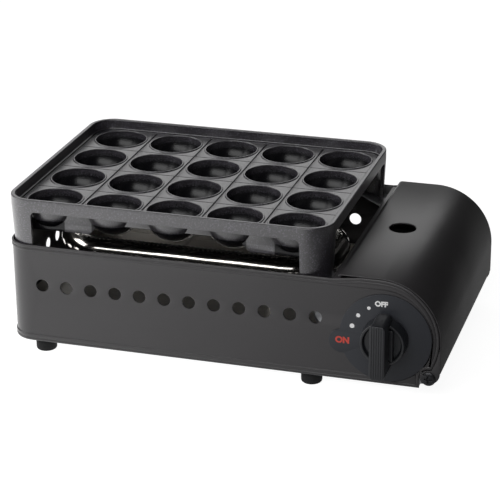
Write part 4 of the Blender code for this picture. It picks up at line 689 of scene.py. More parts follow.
def make_plate(settings):
    shape = Shape()
    for row in range(CUP_ROWS):
        for column in range(CUP_COLUMNS):
            cup(shape, column, row, settings)
    skirt(shape)
    span_x = CUP_PITCH * (CUP_COLUMNS - 1) / 2 + RIB_OFFSET
    span_y = CUP_PITCH * (CUP_ROWS - 1) / 2 + RIB_OFFSET
    columns = (np.arange(CUP_COLUMNS) - (CUP_COLUMNS - 1) / 2) * CUP_PITCH
    rows = (np.arange(CUP_ROWS) - (CUP_ROWS - 1) / 2) * CUP_PITCH
    for side in (-1, 1):
        rib(shape, "Y", span_x, RIB_TALL_START, columns, side * span_y)
        rib(shape, "X", span_y, RIB_TALL_START - CUP_PITCH / 2, rows, side * span_x)
    coating = finish("plate_coating", colour=settings.colour, roughness=settings.roughness,
                     specular=settings.gloss, speck=settings.speck_colour)
    # the cups get painted shade, a darker colour than the deck, besides their own gloss and roughness
    paint_cup_shade(coating, settings)
    make_piece(shape, "takoyaki_plate", coating, "plate", ["cooking_plate"])


# Painted body
BAND_SHARE = 0.85               # of the band's width that its bead and groove may take
FLANGE_DEPTH = 0.0085           # from the panel's face to the inner edge of its round end's flange
FLANGE_EDGE = 0.0001
NOTCH_DEPTH = 0.0033            # the same flange round the hinge notch, shallower for the bracket behind it
STRIP_START = -15               # degrees; a strip behind the gap between the round end and the cover's ear
STRIP_REACH = 0.0015            # how far it stands out past the round
STRIP_NEAR = 0.0017             # from the panel's face to the strip's two sides
STRIP_FAR = 0.0025
CUT_EDGE = 0.0003               # rounding of the sheet's inner cut edge
OUTER_EDGE = ((0, -0.0008), (0.00025, -0.0004), (0.0007, -0.00012))     # (inset, out) round its outer one
# The bead and the line inside it, as shares of the bead's width and the line's depth
BEAD_STEPS = ((0.45, 0), (0.75, -0.15), (0.92, -0.55), (1, -1), (1.05, -0.6), (1.15, 0))
# The step down to the field, as shares of its half width and of the drop
FIELD_STEPS = ((-1, 0), (-0.6, 0.06), (-0.2, 0.3), (0.2, 0.75), (0.6, 1), (1, 1))
FIELD_GAP = 0.0003              # between the dial and the field's edge
FIELD_SPLIT = 5                 # degrees past half way round the dial where the points beside the notch end
FIELD_NEXT = 4                  # and on from there to the first point beside the foot
VENT_RIM = ((0.0004, 0), (0.00012, 0.00006), (0, 0.0003))       # (wider, deeper) over a vent's pressed rim
VENT_BURR = 0.0001
VENT_STEPS = 36
SPINDLE_STEPS = 24
FLANGE_STOP = 2                 # degrees that the flange ends before the hinge notch
NOTCH_LEAD = 5                  # degrees that the notch's flange starts before it
CORNER_RUN = BODY_CORNER * math.pi / 2
SIDE_RUN = 2 * (FACE_Y - BODY_CORNER)
CORNER_X = BODY_LEFT + BODY_CORNER


def wrap_body(flat, out=0.0):
    """A sheet drawn flat in (u, z) and bent round the body's plan.

    u is 0 where the front meets the left corner. Each point goes to the plan's place at u, moved out
    along the plan's normal by out.
    """
    flat = np.asarray(flat, float)
    u, z = flat[:, 0], flat[:, 1]
    second = u - CORNER_RUN - SIDE_RUN
    turn_one = np.clip(u, 0, CORNER_RUN) / BODY_CORNER
    turn_two = np.clip(second, 0, CORNER_RUN) / BODY_CORNER
    angle = turn_one + turn_two
    normal_x, normal_y = -np.sin(angle), -np.cos(angle)
    reach = BODY_CORNER + out
    rear = second > 0
    x = CORNER_X + reach * normal_x - np.minimum(u, 0) + np.maximum(second - CORNER_RUN, 0)
    along = np.clip(u - CORNER_RUN, 0, SIDE_RUN)
    y = SHELL_LOW.y + BODY_CORNER + along + reach * normal_y
    y = np.where(rear, SHELL_HIGH.y - BODY_CORNER + reach * normal_y, y)
    return np.column_stack((x, y, z))


def round_end():
    """The angle at which the panel's round meets the hinge notch, from the cosine rule."""
    reach = math.hypot(HINGE_X - ROUND_X, HINGE_Z - ROUND_Z)
    along = (PANEL_RADIUS ** 2 - HINGE_CLEAR ** 2 + reach ** 2) / (2 * reach)
    return math.degrees(math.atan2(HINGE_Z - ROUND_Z, HINGE_X - ROUND_X) + math.acos(along / PANEL_RADIUS))


def notch_start():
    """The same place as an angle about the hinge."""
    meet_x, meet_z = arc((ROUND_X, ROUND_Z), PANEL_RADIUS, round_end(), round_end(), 1)[0]
    return math.degrees(math.atan2(meet_z - HINGE_Z, meet_x - HINGE_X))


def panel_edge():
    """The front panel's edge in (x, z): level top, ramp, round end, hinge notch and level foot."""
    end, first = round_end(), notch_start()
    foot = np.linspace(PANEL_RIGHT, KNOB_X - DIAL_RADIUS / 2, ARC_STEPS // 2 + 1)
    return np.vstack((
        [(CORNER_X, BODY_TOP), (PARTITION_X, BODY_TOP), (ROUND_X - PANEL_RAMP, SHELL_HIGH.z)],
        arc((ROUND_X, ROUND_Z), PANEL_RADIUS, 90, end, 2 * ARC_STEPS),
        arc((HINGE_X, HINGE_Z), HINGE_CLEAR, first, 180, ARC_STEPS)[1:],
        np.column_stack((foot, np.full(len(foot), BODY_LOW))), [(CORNER_X, BODY_LOW)]))


def field_edge():
    """The edge of the panel's sunk field, point for point beside the panel's own edge."""
    right, top, low = ROUND_X + PANEL_RADIUS - PANEL_BAND_SIDE, BODY_TOP - TOP_BAND, BODY_LOW + BOTTOM_BAND
    reach = DIAL_RADIUS + FIELD_GAP
    last = math.degrees(math.asin((KNOB_Z - low) / reach)) - 180
    turn = last / 2 - FIELD_SPLIT
    corner = PANEL_BAND_CORNER
    return np.vstack((
        [(CORNER_X, top), (PARTITION_X, top), (ROUND_X - PANEL_RAMP, top)],
        arc((right - corner, top - corner), corner, 90, 0, 2 * ARC_STEPS),
        arc((KNOB_X, KNOB_Z), reach, 0, turn, ARC_STEPS)[1:],
        arc((KNOB_X, KNOB_Z), reach, turn - FIELD_NEXT, last, ARC_STEPS // 2), [(CORNER_X, low)]))


def body_loop(front):
    """A whole closed outline in (u, z) from the front panel's edge: front, foot, back and top."""
    forward = np.column_stack((CORNER_X - front[:, 0], front[:, 1]))
    far = 2 * CORNER_RUN + SIDE_RUN
    backward = np.column_stack((far + front[::-1, 0] - CORNER_X, front[::-1, 1]))
    bow = np.linspace(0, CORNER_RUN, ARC_STEPS // 2 + 1)
    middle = np.concatenate((bow[1:], CORNER_RUN + SIDE_RUN + bow[:-1]))
    low = np.column_stack((middle, np.full(len(middle), front[-1, 1])))
    high = np.column_stack((middle[::-1], np.full(len(middle), front[0, 1])))
    return np.vstack((forward, low, backward, high)), len(forward), len(middle)


def vent_centres():
    """Vents in (u, z): a row through the front, one through the left side and one through the back."""
    z = BODY_TOP - VENT_DROP
    along = PLATE_X + VENT_ROW_SHIFT + (np.arange(VENT_COUNT) - (VENT_COUNT - 1) / 2) * VENT_PITCH
    far = 2 * CORNER_RUN + SIDE_RUN
    side = CORNER_RUN + SIDE_RUN / 2 + (np.arange(VENT_SIDE_COUNT) - (VENT_SIDE_COUNT - 1) / 2) * VENT_PITCH
    return ([(CORNER_X - x, z) for x in along], [(u, z) for u in side],
            [(far + x - CORNER_X, z) for x in along])


def body_face(shape, loop, counts, holes, out):
    """Close one face of the sheet inside its loop: flat stretches with holes and strips round the corners."""
    front, middle = counts
    low = loop[front:front + middle]
    back = loop[front + middle:2 * front + middle]
    high = loop[2 * front + middle:][::-1]
    half = middle // 2
    low_one, low_two = np.vstack((loop[front - 1:front], low[:half])), np.vstack((low[half:], back[:1]))
    high_one, high_two = np.vstack((loop[:1], high[:half])), np.vstack((high[half:], back[-1:]))
    for first, second in ((low_one, high_one), (low_two, high_two)):
        shape.grid(np.stack((wrap_body(first, out), wrap_body(second, out))))
    side = np.vstack((low_one[-1:], low_two[:1], high_two[:1], high_one[-1:]))
    for outline, inner in ((loop[:front], holes[0]), (side, holes[1]), (back, holes[2])):
        shape.fill([outline, *inner], lambda flat: wrap_body(flat, out))


def panel_flanges(shape):
    """Behind both panels: a flange round the end, one round the notch and a strip behind the ear's gap."""
    middle, hinge = (ROUND_X, ROUND_Z), (HINGE_X, HINGE_Z)
    end, first = round_end(), notch_start()
    low = end + FLANGE_STOP
    flange = np.vstack((arc(middle, PANEL_RADIUS, low, 90, 2 * ARC_STEPS),
                        arc(middle, PANEL_RADIUS - BODY_SHEET, 90, low, 2 * ARC_STEPS)))
    notch = np.vstack((arc(hinge, HINGE_CLEAR + BODY_SHEET, first - NOTCH_LEAD, 180, ARC_STEPS),
                       arc(hinge, HINGE_CLEAR, 180, first, ARC_STEPS)))
    strip = np.vstack((arc(middle, PANEL_RADIUS + STRIP_REACH, end, STRIP_START, ARC_STEPS),
                       arc(middle, PANEL_RADIUS - BODY_SHEET, STRIP_START, end, ARC_STEPS)))
    both_ends(shape, flange, BODY_SHEET, FLANGE_DEPTH, FLANGE_EDGE)
    both_ends(shape, notch, BODY_SHEET, NOTCH_DEPTH, FLANGE_EDGE)
    both_ends(shape, strip, STRIP_NEAR, STRIP_FAR, FLANGE_EDGE)


def make_body(settings):
    shape = Shape()
    edge, front, middle = body_loop(panel_edge())
    field = body_loop(field_edge())[0]
    sunk = -BAND_PROUD
    inside = sunk - BODY_SHEET
    bead, line = settings.bead_width, settings.line_depth
    step = settings.step_width
    space = np.linalg.norm(field - edge, axis=1)[:, None]
    room = np.minimum(1, BAND_SHARE * space / (bead * BEAD_STEPS[-1][0] + step))
    profile = [(CUT_EDGE, inside), (0, inside + CUT_EDGE), *OUTER_EDGE]
    profile += [(bead * a, line * out) for a, out in BEAD_STEPS]
    rings = [(inset(edge, room * a), out) for a, out in profile]
    rings += [(inset(field, step * a), sunk * out) for a, out in FIELD_STEPS]
    shape.grid(np.stack([wrap_body(loop, out) for loop, out in rings]), wrap=True)

    rims = [(wider, sunk - deeper) for wider, deeper in VENT_RIM]
    rims += [(0, inside + VENT_BURR), (VENT_BURR, inside)]
    outer, inner = [], []
    for group in vent_centres():
        circles = []
        for centre in group:
            circles.append([arc(centre, VENT_RADIUS + a, 0, 360, VENT_STEPS)[:-1] for a, _ in rims])
            rim = [wrap_body(circle, out) for circle, (_, out) in zip(circles[-1], rims)]
            shape.grid(np.stack(rim), wrap=True)
        outer.append([circle[0] for circle in circles])
        inner.append([circle[-1] for circle in circles])
    spindle = arc((CORNER_X - KNOB_X, KNOB_Z), settings.spindle_hole, 0, 360, SPINDLE_STEPS)[:-1]
    shape.grid(np.stack([wrap_body(spindle, sunk), wrap_body(spindle, inside)]), wrap=True)
    outer[0].append(spindle)
    inner[0].append(spindle)
    body_face(shape, rings[-1][0], (front, middle), outer, sunk)
    body_face(shape, rings[0][0], (front, middle), inner, inside)
    panel_flanges(shape)
    paint = finish("body_paint", colour=settings.paint, roughness=settings.roughness,
                   specular=settings.gloss, speck=settings.fleck)
    make_piece(shape, "body_wrap", paint, "root", ["body_shell"], crease=50)
    return paint


# Cartridge cover
COVER_CELLS = 16                # runs along each side of the square round the finger hole
LIP_ROUND = 0.8                 # reach of the lip's rounding, as a share of its run
HOLE_SHARES = (0, 0.35, 0.65)   # rings between that square and the hole's circle
HOLE_RIM = ((0.0007, 0), (0.0003, -0.00008), (0.00008, -0.0003), (0, -0.0005))     # (wider, out)
HOLE_BURR = 0.0001
EAR_STEPS = 10
KNUCKLE_STEPS = 12
KNUCKLE_START = 4               # degrees between the ear's round and its knuckle


def cover_height(x):
    """The top's height: level, then z = R_z + sqrt(R^2 - (x - R_x)^2) past the start of the round."""
    return ROUND_Z + np.sqrt(COVER_RADIUS ** 2 - np.maximum(x - ROUND_X, 0) ** 2)


def cover_path():
    """The cover's outer face in (x, z), its outward normals and the row where the hole's square starts."""
    lip = corner_profile([(COVER_LEFT, COVER_TOP - COVER_LIP_DROP), (COVER_LEFT + COVER_LIP_RUN, COVER_TOP),
                          (COVER_LEFT + 3 * COVER_LIP_RUN, COVER_TOP)], (COVER_LIP_RUN * LIP_ROUND,))
    hole, span = COVER_LEFT + COVER_HOLE_SHIFT, COVER_HOLE_RADIUS + COVER_HOLE_MARGIN
    x = np.linspace(hole - span, hole + span, COVER_CELLS + 1)
    first = math.degrees(math.acos((x[-1] - ROUND_X) / COVER_RADIUS))
    bow = arc((ROUND_X, ROUND_Z), COVER_RADIUS, first, 0, 2 * ARC_STEPS)[1:]
    path = np.vstack((lip, np.column_stack((x, cover_height(x))), bow,
                      [(COVER_RIGHT, HINGE_Z + COVER_SIDE_LIFT)]))
    run = np.gradient(path, axis=0)
    run /= np.linalg.norm(run, axis=1)[:, None]
    normal = np.column_stack((-run[:, 1], run[:, 0]))
    lean = np.maximum(x - ROUND_X, 0) / COVER_RADIUS
    start = len(lip)
    normal[start:start + len(x)] = np.column_stack((lean, np.sqrt(1 - lean ** 2)))
    return path, normal, start


def make_cover(settings, paint):
    """The cover's sheet: its cross-section, a flat ring with rounded ends, carried along the path.

    A square is left out of the top. Rings run from there in to the finger hole and over its rim.
    """
    shape = Shape()
    path, normal, start = cover_path()
    stop = start + COVER_CELLS
    half, edge, deep = FACE_Y, settings.edge_round, -COVER_SHEET
    hole, span = COVER_LEFT + COVER_HOLE_SHIFT, COVER_HOLE_RADIUS + COVER_HOLE_MARGIN
    face = np.concatenate(((edge - half,), np.linspace(-span, span, COVER_CELLS + 1), (half - edge,)))
    count = len(face)
    end = np.array([(half - edge * EDGE_MIDDLE, -edge * EDGE_MIDDLE), (half, -edge), (half, deep + edge)])
    section = np.vstack((np.column_stack((face, face * 0)), end,
                         np.column_stack((face[::-1], face * 0 + deep)), end[::-1] * (-1, 1)))
    rows = path[:, None, :] + normal[:, None, :] * section[None, :, 1:]
    across = np.broadcast_to(section[:, 0] + PLATE_Y, rows.shape[:2])
    points = np.stack((rows[..., 0], across, rows[..., 1]), -1)
    shape.grid(points[:start + 1], wrap=True)
    shape.grid(points[stop:], wrap=True)
    square = points[start:stop + 1]
    top_end, under_start = 1 + COVER_CELLS, count + len(end) + 1
    shape.grid(square[:, top_end:under_start + 1])
    shape.grid(np.concatenate((square[:, under_start + COVER_CELLS:], square[:, :2]), 1))
    for row in (points[0], points[-1]):
        shape.add(row, [list(range(len(row)))])

    rim = (*HOLE_RIM, (0, deep + HOLE_BURR), (HOLE_BURR, deep))
    side = np.linspace(-1, 1, COVER_CELLS, endpoint=False)
    one = np.ones(COVER_CELLS)
    corner = np.vstack((np.column_stack((side, -one)), np.column_stack((one, side)),
                        np.column_stack((-side, one)), np.column_stack((-one, -side))))
    way = corner / np.linalg.norm(corner, axis=1)[:, None]
    rings = [(corner * span * (1 - t) + way * COVER_HOLE_RADIUS * t, 0) for t in HOLE_SHARES]
    rings += [(way * (COVER_HOLE_RADIUS + a), out) for a, out in rim]
    rings += [(corner * span * (1 - t) + way * COVER_HOLE_RADIUS * t, deep) for t in HOLE_SHARES[::-1]]
    stack = []
    for flat, out in rings:
        x = hole + flat[:, 0]
        lean = np.maximum(x - ROUND_X, 0) / COVER_RADIUS
        stack.append(np.column_stack((x + lean * out, PLATE_Y + flat[:, 1],
                                      cover_height(x) + np.sqrt(1 - lean ** 2) * out)))
    shape.grid(np.stack(stack), wrap=True)

    both_ends(shape, ear_outline(), EAR_INSET, EAR_INSET + EAR_SHEET, EAR_INSET)
    make_piece(shape, "cover_skin", paint, "cover", ["cartridge_cover"], crease=45)


def ear_outline():
    """The ear at each end of the cover: the cover's round, the knuckle at the hinge and a round corner."""
    low = HINGE_Z + EAR_CORNER_LIFT
    end = -math.degrees(math.asin((ROUND_Z - HINGE_Z - EAR_KNUCKLE) / COVER_INSIDE))
    round_part = arc((ROUND_X, ROUND_Z), COVER_INSIDE, EAR_TOP_ANGLE, end, EAR_STEPS)
    corner_radius = COVER_RIGHT - HINGE_X - COVER_SHEET / 2
    first = math.degrees(math.atan2(round_part[-1, 1] - HINGE_Z, round_part[-1, 0] - HINGE_X))
    last = 180 + math.degrees(math.asin((corner_radius - EAR_CORNER_LIFT) / EAR_KNUCKLE))
    knuckle = arc((HINGE_X, HINGE_Z), EAR_KNUCKLE, max(first, 90) + KNUCKLE_START, last, KNUCKLE_STEPS)
    corner = arc((HINGE_X, low), corner_radius, -90, 0, KNUCKLE_STEPS)[1:]
    return np.vstack((round_part, knuckle, corner, [(HINGE_X + corner_radius, round_part[0, 1])]))


# Dial and knob
def dial_outline(grow):
    """The dial's edge about the knob: at each angle the farther of the disc and the lobe's far side."""
    turn = np.linspace(-math.pi, math.pi, 4 * TURN_STEPS, endpoint=False)
    way = np.column_stack((np.cos(turn), np.sin(turn)))
    centre = np.array((-LOBE_SHIFT, -LOBE_DROP))
    along = way @ centre
    spare = (LOBE_RADIUS + grow) ** 2 - (centre ** 2).sum() + along ** 2
    far = np.where((spare > 0) & (along > 0), along + np.sqrt(np.maximum(spare, 0)), 0)
    return way * np.maximum(DIAL_RADIUS + grow, far)[:, None]


def make_dial(settings):
    shape = Shape()
    edge = settings.edge_round
    back = DIAL_FRONT_Y + DIAL_THICKNESS
    hole = dial_outline(0)
    hole *= DIAL_HOLE / np.linalg.norm(hole, axis=1)[:, None]
    place = on_axis("Y")
    middle = np.array((KNOB_X, KNOB_Z))
    rings = [place(loop + middle, y) for loop, y in (
        (hole, back), (dial_outline(0), back), (dial_outline(0), DIAL_FRONT_Y + edge),
        (dial_outline(-edge * EDGE_MIDDLE), DIAL_FRONT_Y + edge * EDGE_MIDDLE),
        (dial_outline(-edge), DIAL_FRONT_Y),
        (hole, DIAL_FRONT_Y), (hole, back))]
    shape.grid(np.stack(rings), wrap=True)
    print_finish = finish("dial_print", colour=settings.dial_colour, roughness=settings.dial_roughness)
    make_piece(shape, "dial_face", print_finish, "root", ["dial_plate"], crease=50)


def make_marks(settings):
    """The dial's printed marks: three growing dots, OFF above the knob and ON on the lobe."""
    white = finish("mark_white", colour=settings.mark_white)
    red = finish("mark_red", colour=settings.mark_red)
    place = on_axis("Y")
    front = DIAL_FRONT_Y - INK
    shape = Shape()
    for angle, radius in zip(DOT_ANGLES, DOT_RADII):
        turn = math.radians(90 + angle)
        middle = (KNOB_X + DOT_RING * math.cos(turn), KNOB_Z + DOT_RING * math.sin(turn))
        rings = [place(arc(middle, reach, 0, 360, DOT_STEPS)[:-1], y)
                 for reach, y in ((radius, DIAL_FRONT_Y), (radius, front), (0, front))]
        shape.grid(np.stack(rings), wrap=True)
    make_piece(shape, "mark_dots", white, "root")
    add_word("mark_off", "OFF", OFF_PLACE, settings.off_width, white)
    add_word("mark_on", "ON", ON_PLACE, settings.on_width, red)


def add_word(name, word, middle, width, material):
    """A word printed on the dial, its letters as wide together as asked and centred on a place."""
    curve = bpy.data.curves.new(name, "FONT")
    curve.body = word
    curve.extrude = LETTER_DEPTH
    curve.offset = LETTER_BOLD
    source = bpy.data.objects.new(name, curve)
    bpy.context.scene.collection.objects.link(source)
    bpy.context.view_layer.update()
    mesh = bpy.data.meshes.new_from_object(source.evaluated_get(bpy.context.evaluated_depsgraph_get()))
    bpy.data.objects.remove(source)
    points = np.empty(len(mesh.vertices) * 3)
    mesh.vertices.foreach_get("co", points)
    points = points.reshape(-1, 3)
    low, high = points.min(0), points.max(0)
    scale = width / (high[0] - low[0])
    flat = (points[:, :2] - (low[:2] + high[:2]) / 2) * scale
    depth = (points[:, 2] - low[2]) / (high[2] - low[2]) * INK
    faces = [list(polygon.vertices) for polygon in mesh.polygons]
    shape = Shape()
    shape.points.append(np.column_stack((KNOB_X + middle[0] + flat[:, 0], DIAL_FRONT_Y - depth,
                                         KNOB_Z + middle[1] + flat[:, 1])))
    shape.faces = faces
    make_piece(shape, name, material, "root")


def bar_ring(width, length_up, length_down, corner, y):
    """The knob's bar across its depth: an upright rounded rectangle at one place along the axis."""
    low, high = (KNOB_X - width / 2, KNOB_Z - length_down), (KNOB_X + width / 2, KNOB_Z + length_up)
    return on_axis("Y")(rounded(low, high, corner, BAR_CORNER_STEPS), y)


def add_bar(shape, settings, base):
    """The knob's bar from its base to its tip, drawn in a little on the way, with grip ribs on the tip."""
    half, reach, edge = BAR_WIDTH / 2, BAR_LENGTH / 2, settings.bar_edge
    draft, top, foot = settings.bar_draft, settings.top_slope, settings.foot_slope
    tip = DIAL_FRONT_Y - BAR_DEPTH + settings.rib_height
    depth = base - tip
    rings = [bar_ring(2 * half, reach, reach, BAR_CORNER, base - depth * t) for t in BAR_STRAIGHT]
    rings += [bar_ring(2 * half - draft * t, reach - top * t ** 2, reach - foot * t ** 2, BAR_CORNER,
                       base - depth * t) for t in BAR_DRAWN]
    for turn in np.linspace(0, math.pi / 2, BAR_EDGE_STEPS):
        draw = edge * (1 - math.cos(turn))
        rings.append(bar_ring(2 * (half - draw) - draft, reach - top - draw, reach - foot - draw,
                              BAR_CORNER - draw, tip + edge * (1 - math.sin(turn))))
    shape.grid(np.stack(rings), wrap=True)
    place = on_axis("Y")
    for ring, y in ((rings[0], base), (rings[-1], tip)):
        shape.fill([ring[:, (0, 2)]], lambda flat, y=y: place(flat, y))
    pitch = 2 * (half - edge - draft) / GRIP_COUNT
    for index in range(GRIP_COUNT):
        middle = KNOB_X + (index - (GRIP_COUNT - 1) / 2) * pitch
        low = (middle - pitch * GRIP_HALF, KNOB_Z - reach + foot + 2 * edge)
        high = (middle + pitch * GRIP_HALF, KNOB_Z + reach - top - 2 * edge)
        prism(shape, rounded(low, high, pitch * GRIP_CORNER, 3), "Y", tip - settings.rib_height,
              tip + GRIP_SINK, settings.rib_height * GRIP_EDGE)


def make_knob(settings):
    """The knob: a round base with a sunk face, a block beside the bar, and the bar with grip ribs."""
    shape = Shape()
    back = DIAL_FRONT_Y - KNOB_LIFT
    front = back - KNOB_DEPTH
    floor = front + KNOB_RECESS
    rim = KNOB_RADIUS - KNOB_TAPER
    inner = rim - KNOB_RIM
    bore = DIAL_HOLE * BORE_SHARE
    profile = corner_profile(
        [(bore, back), (KNOB_RADIUS, back), (rim, front), (inner, front),
         (inner - KNOB_TAPER * RECESS_DRAW, floor), (bore, floor)], KNOB_EDGES)
    turned(shape, np.vstack((profile, [(bore, back)])), "Y", (KNOB_X, 0, KNOB_Z))

    side = BAR_WIDTH / 2 + settings.shoulder
    for way in (-1, 1):
        near, far = sorted((KNOB_X + way * (BAR_WIDTH / 2 - BLOCK_SINK), KNOB_X + way * side))
        reach = math.sqrt(inner ** 2 - side ** 2)
        block = rounded((near, KNOB_Z - reach), (far, KNOB_Z + reach), BLOCK_CORNER, 4)
        prism(shape, block, "Y", front - settings.shoulder_rise, floor + BLOCK_SINK, BLOCK_EDGE)

    add_bar(shape, settings, back - BAR_BACK)
    plastic = finish("knob_plastic", colour=settings.knob_colour, roughness=settings.knob_roughness,
                     specular=settings.knob_gloss)
    make_piece(shape, "knob_grip", plastic, "knob", ["knob"], crease=40)


# Feet and hinge screws
def make_feet():
    rubber = finish("rubber")
    for side in ("front", "rear"):
        for end in ("left", "right"):
            name = f"foot_{side}_{end}"
            low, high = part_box(name)
            radius, top = (high.x - low.x) / 2, high.z
            shape = Shape()
            profile = corner_profile(
                [(FOOT_BORE, FOOT_BORE), (FOOT_BORE * FOOT_MOUTH, 0), (radius, 0), (radius, top),
                 (FOOT_BORE, top)], (MOUTH_EDGE, FOOT_EDGE, FOOT_EDGE / 2))
            turned(shape, np.vstack((profile, [(FOOT_BORE, FOOT_BORE)])), "Z",
                   ((low.x + high.x) / 2, (low.y + high.y) / 2, 0))
            make_piece(shape, name + "_pad", rubber, "root", [name])


def make_hinge_screws():
    """Pan-headed screws: a dome h sqrt(1 - s^3) at the share s of its radius, with a cross recess."""
    black = finish("screw_black")
    for side, way in (("front", -1), ("rear", 1)):
        name = f"hinge_screw_{side}"
        low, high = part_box(name)
        radius = (high.x - low.x) / 2
        seat = PLATE_Y + way * (FACE_Y + HINGE_GAP)
        top = low.y if way < 0 else high.y
        end = high.y if way < 0 else low.y
        rise = abs(top - seat)
        turn = np.linspace(0, 2 * math.pi, TURN_STEPS, endpoint=False)
        arm = np.clip(ARM_HEIGHT * np.cos(2 * turn) ** ARM_POWER, 0, 1)
        rings = [(0, end, 0), (SCREW_SHANK, end, 0), (SCREW_SHANK, seat, 0), (radius, seat, 0)]
        for share in DOME_RINGS:
            height = rise * (1 - share ** 3) ** 0.5
            cut = rise * CROSS_DEPTH if share < CROSS_REACH else 0
            rings.append((radius * share, seat + way * height, cut))
        stack = []
        for reach, y, cut in rings:
            sunk = cut * (arm if reach > radius * CROSS_MIDDLE else np.ones(TURN_STEPS))
            stack.append(np.column_stack((HINGE_X + reach * np.cos(turn), y - way * sunk,
                                          HINGE_Z + reach * np.sin(turn))))
        shape = Shape()
        shape.grid(np.stack(stack), wrap=True)
        make_piece(shape, name + "_head", black, "root", [name], crease=30)


# Burner
def channel_route(steps):
    """The burner's middle line, anticlockwise, with its outward normals and the way run along it."""
    low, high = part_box("burner_upper_shell")
    radius = high.z - SPLIT_Z
    half_x, half_y = (high.x - low.x) / 2 - radius, (high.y - low.y) / 2 - radius
    middle = ((low.x + high.x) / 2, (low.y + high.y) / 2)
    ring = rounded((middle[0] - half_x, middle[1] - half_y), (middle[0] + half_x, middle[1] + half_y),
                   BURNER_CORNER, ARC_STEPS)
    edge = np.roll(ring, -1, 0) - ring
    run = np.concatenate(((0,), np.cumsum(np.linalg.norm(edge, axis=1))))
    closed = np.vstack((ring, ring[:1]))
    place = np.linspace(0, run[-1], steps, endpoint=False)
    route = np.column_stack([np.interp(place, run, closed[:, k]) for k in (0, 1)])
    tangent = np.roll(route, -1, 0) - np.roll(route, 1, 0)
    tangent /= np.linalg.norm(tangent, axis=1)[:, None]
    return route, np.column_stack((tangent[:, 1], -tangent[:, 0])), radius


def make_burner(settings):
    """The ring channel's two pressed halves, meeting across a small gap, and a row of flame ports on each
    shoulder.
    """
    route, normal, radius = channel_route(BURNER_STEPS)
    thin = BURNER_SHEET
    low_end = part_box("burner_lower_shell")[0].z
    depth = SPLIT_Z - BURNER_GAP - low_end
    bow = np.radians(np.linspace(0, 180, BURNER_ARC))
    upper = [(radius * math.cos(a), SPLIT_Z + radius * math.sin(a)) for a in bow]
    upper += [((radius - thin) * math.cos(a), SPLIT_Z + (radius - thin) * math.sin(a)) for a in bow[::-1]]
    lower = corner_profile([(radius, 0), (radius, BURNER_DRAW - depth), (radius - BURNER_DRAW, -depth),
                            (BURNER_DRAW - radius, -depth), (-radius, BURNER_DRAW - depth), (-radius, 0)],
                           BURNER_EDGES)
    inside = lower * ((radius - thin) / radius, (depth - thin) / depth)
    lower = np.vstack((lower, inside[::-1])) + (0, SPLIT_Z - BURNER_GAP)
    steel = finish("burner_steel", colour=settings.steel, roughness=settings.burner_roughness)
    for name, profile in (("burner_upper_shell", upper), ("burner_lower_shell", lower)):
        shape = Shape()
        across = np.asarray(profile)
        flat = route[None, :, :] + normal[None, :, :] * across[:, None, :1]
        level = np.broadcast_to(across[:, 1:], flat.shape[:2])
        points = np.concatenate((flat, level[..., None]), -1)
        shape.grid(np.concatenate((points, points[:1])), wrap=True)
        make_piece(shape, name + "_press", steel, "root", [name], crease=40)
    make_ports(route, normal, radius, steel)


def make_ports(route, normal, radius, steel):
    """Flame ports: a row of small raised collars, each with a hollow, along each shoulder of the channel."""
    turn = np.linspace(0, 2 * math.pi, PORT_SIDES, endpoint=False)
    base, way = route[::PORT_STEP], normal[::PORT_STEP]
    along = np.column_stack((-way[:, 1], way[:, 0]))
    shape = Shape()
    for angle in map(math.radians, PORT_ANGLES):
        out = np.array((math.cos(angle), math.sin(angle)))
        up = np.array((-math.sin(angle), math.cos(angle)))
        rings = []
        for reach, rise in PORT_PROFILE:
            points = []
            for t in turn:
                off = out * (radius + rise) + up * reach * math.sin(t)
                flat = base + way * off[0] + along * reach * math.cos(t)
                points.append(np.column_stack((flat, np.full(len(flat), SPLIT_Z + off[1]))))
            rings.append(np.stack(points, 1))
        for port in np.stack(rings, 1):
            shape.grid(port, wrap=True)
    make_piece(shape, "burner_ports", steel, "root")


# Finishes of the CAD pieces that stay
def finish_inside(settings):
    """Give every CAD piece that still shows the finish of its slot."""
    given = {"stainless": dict(colour=settings.steel, roughness=settings.steel_roughness),
             "zinc_plate": dict(colour=settings.zinc)}
    slots = {part["node"]: part["material_slot"] for part in frame["record"]["subparts"]}
    for name, item in frame["nodes"].items():
        if item.hide_render:
            continue
        slot = slots[name]
        material = bpy.data.materials.get(slot) or finish(slot, **given.get(slot, {}))
        item.data.materials.clear()
        item.data.materials.append(material)


# Stage
def add_lamp(name, place, aim, size, power):
    light = bpy.data.lights.new(name, "AREA")
    light.shape = "RECTANGLE"
    light.size, light.size_y = size
    light.energy = power
    item = bpy.data.objects.new(name, light)
    item.location = place
    item.rotation_euler = (Vector(place) - Vector(aim)).to_track_quat("Z", "Y").to_euler()
    bpy.context.scene.collection.objects.link(item)
    return item


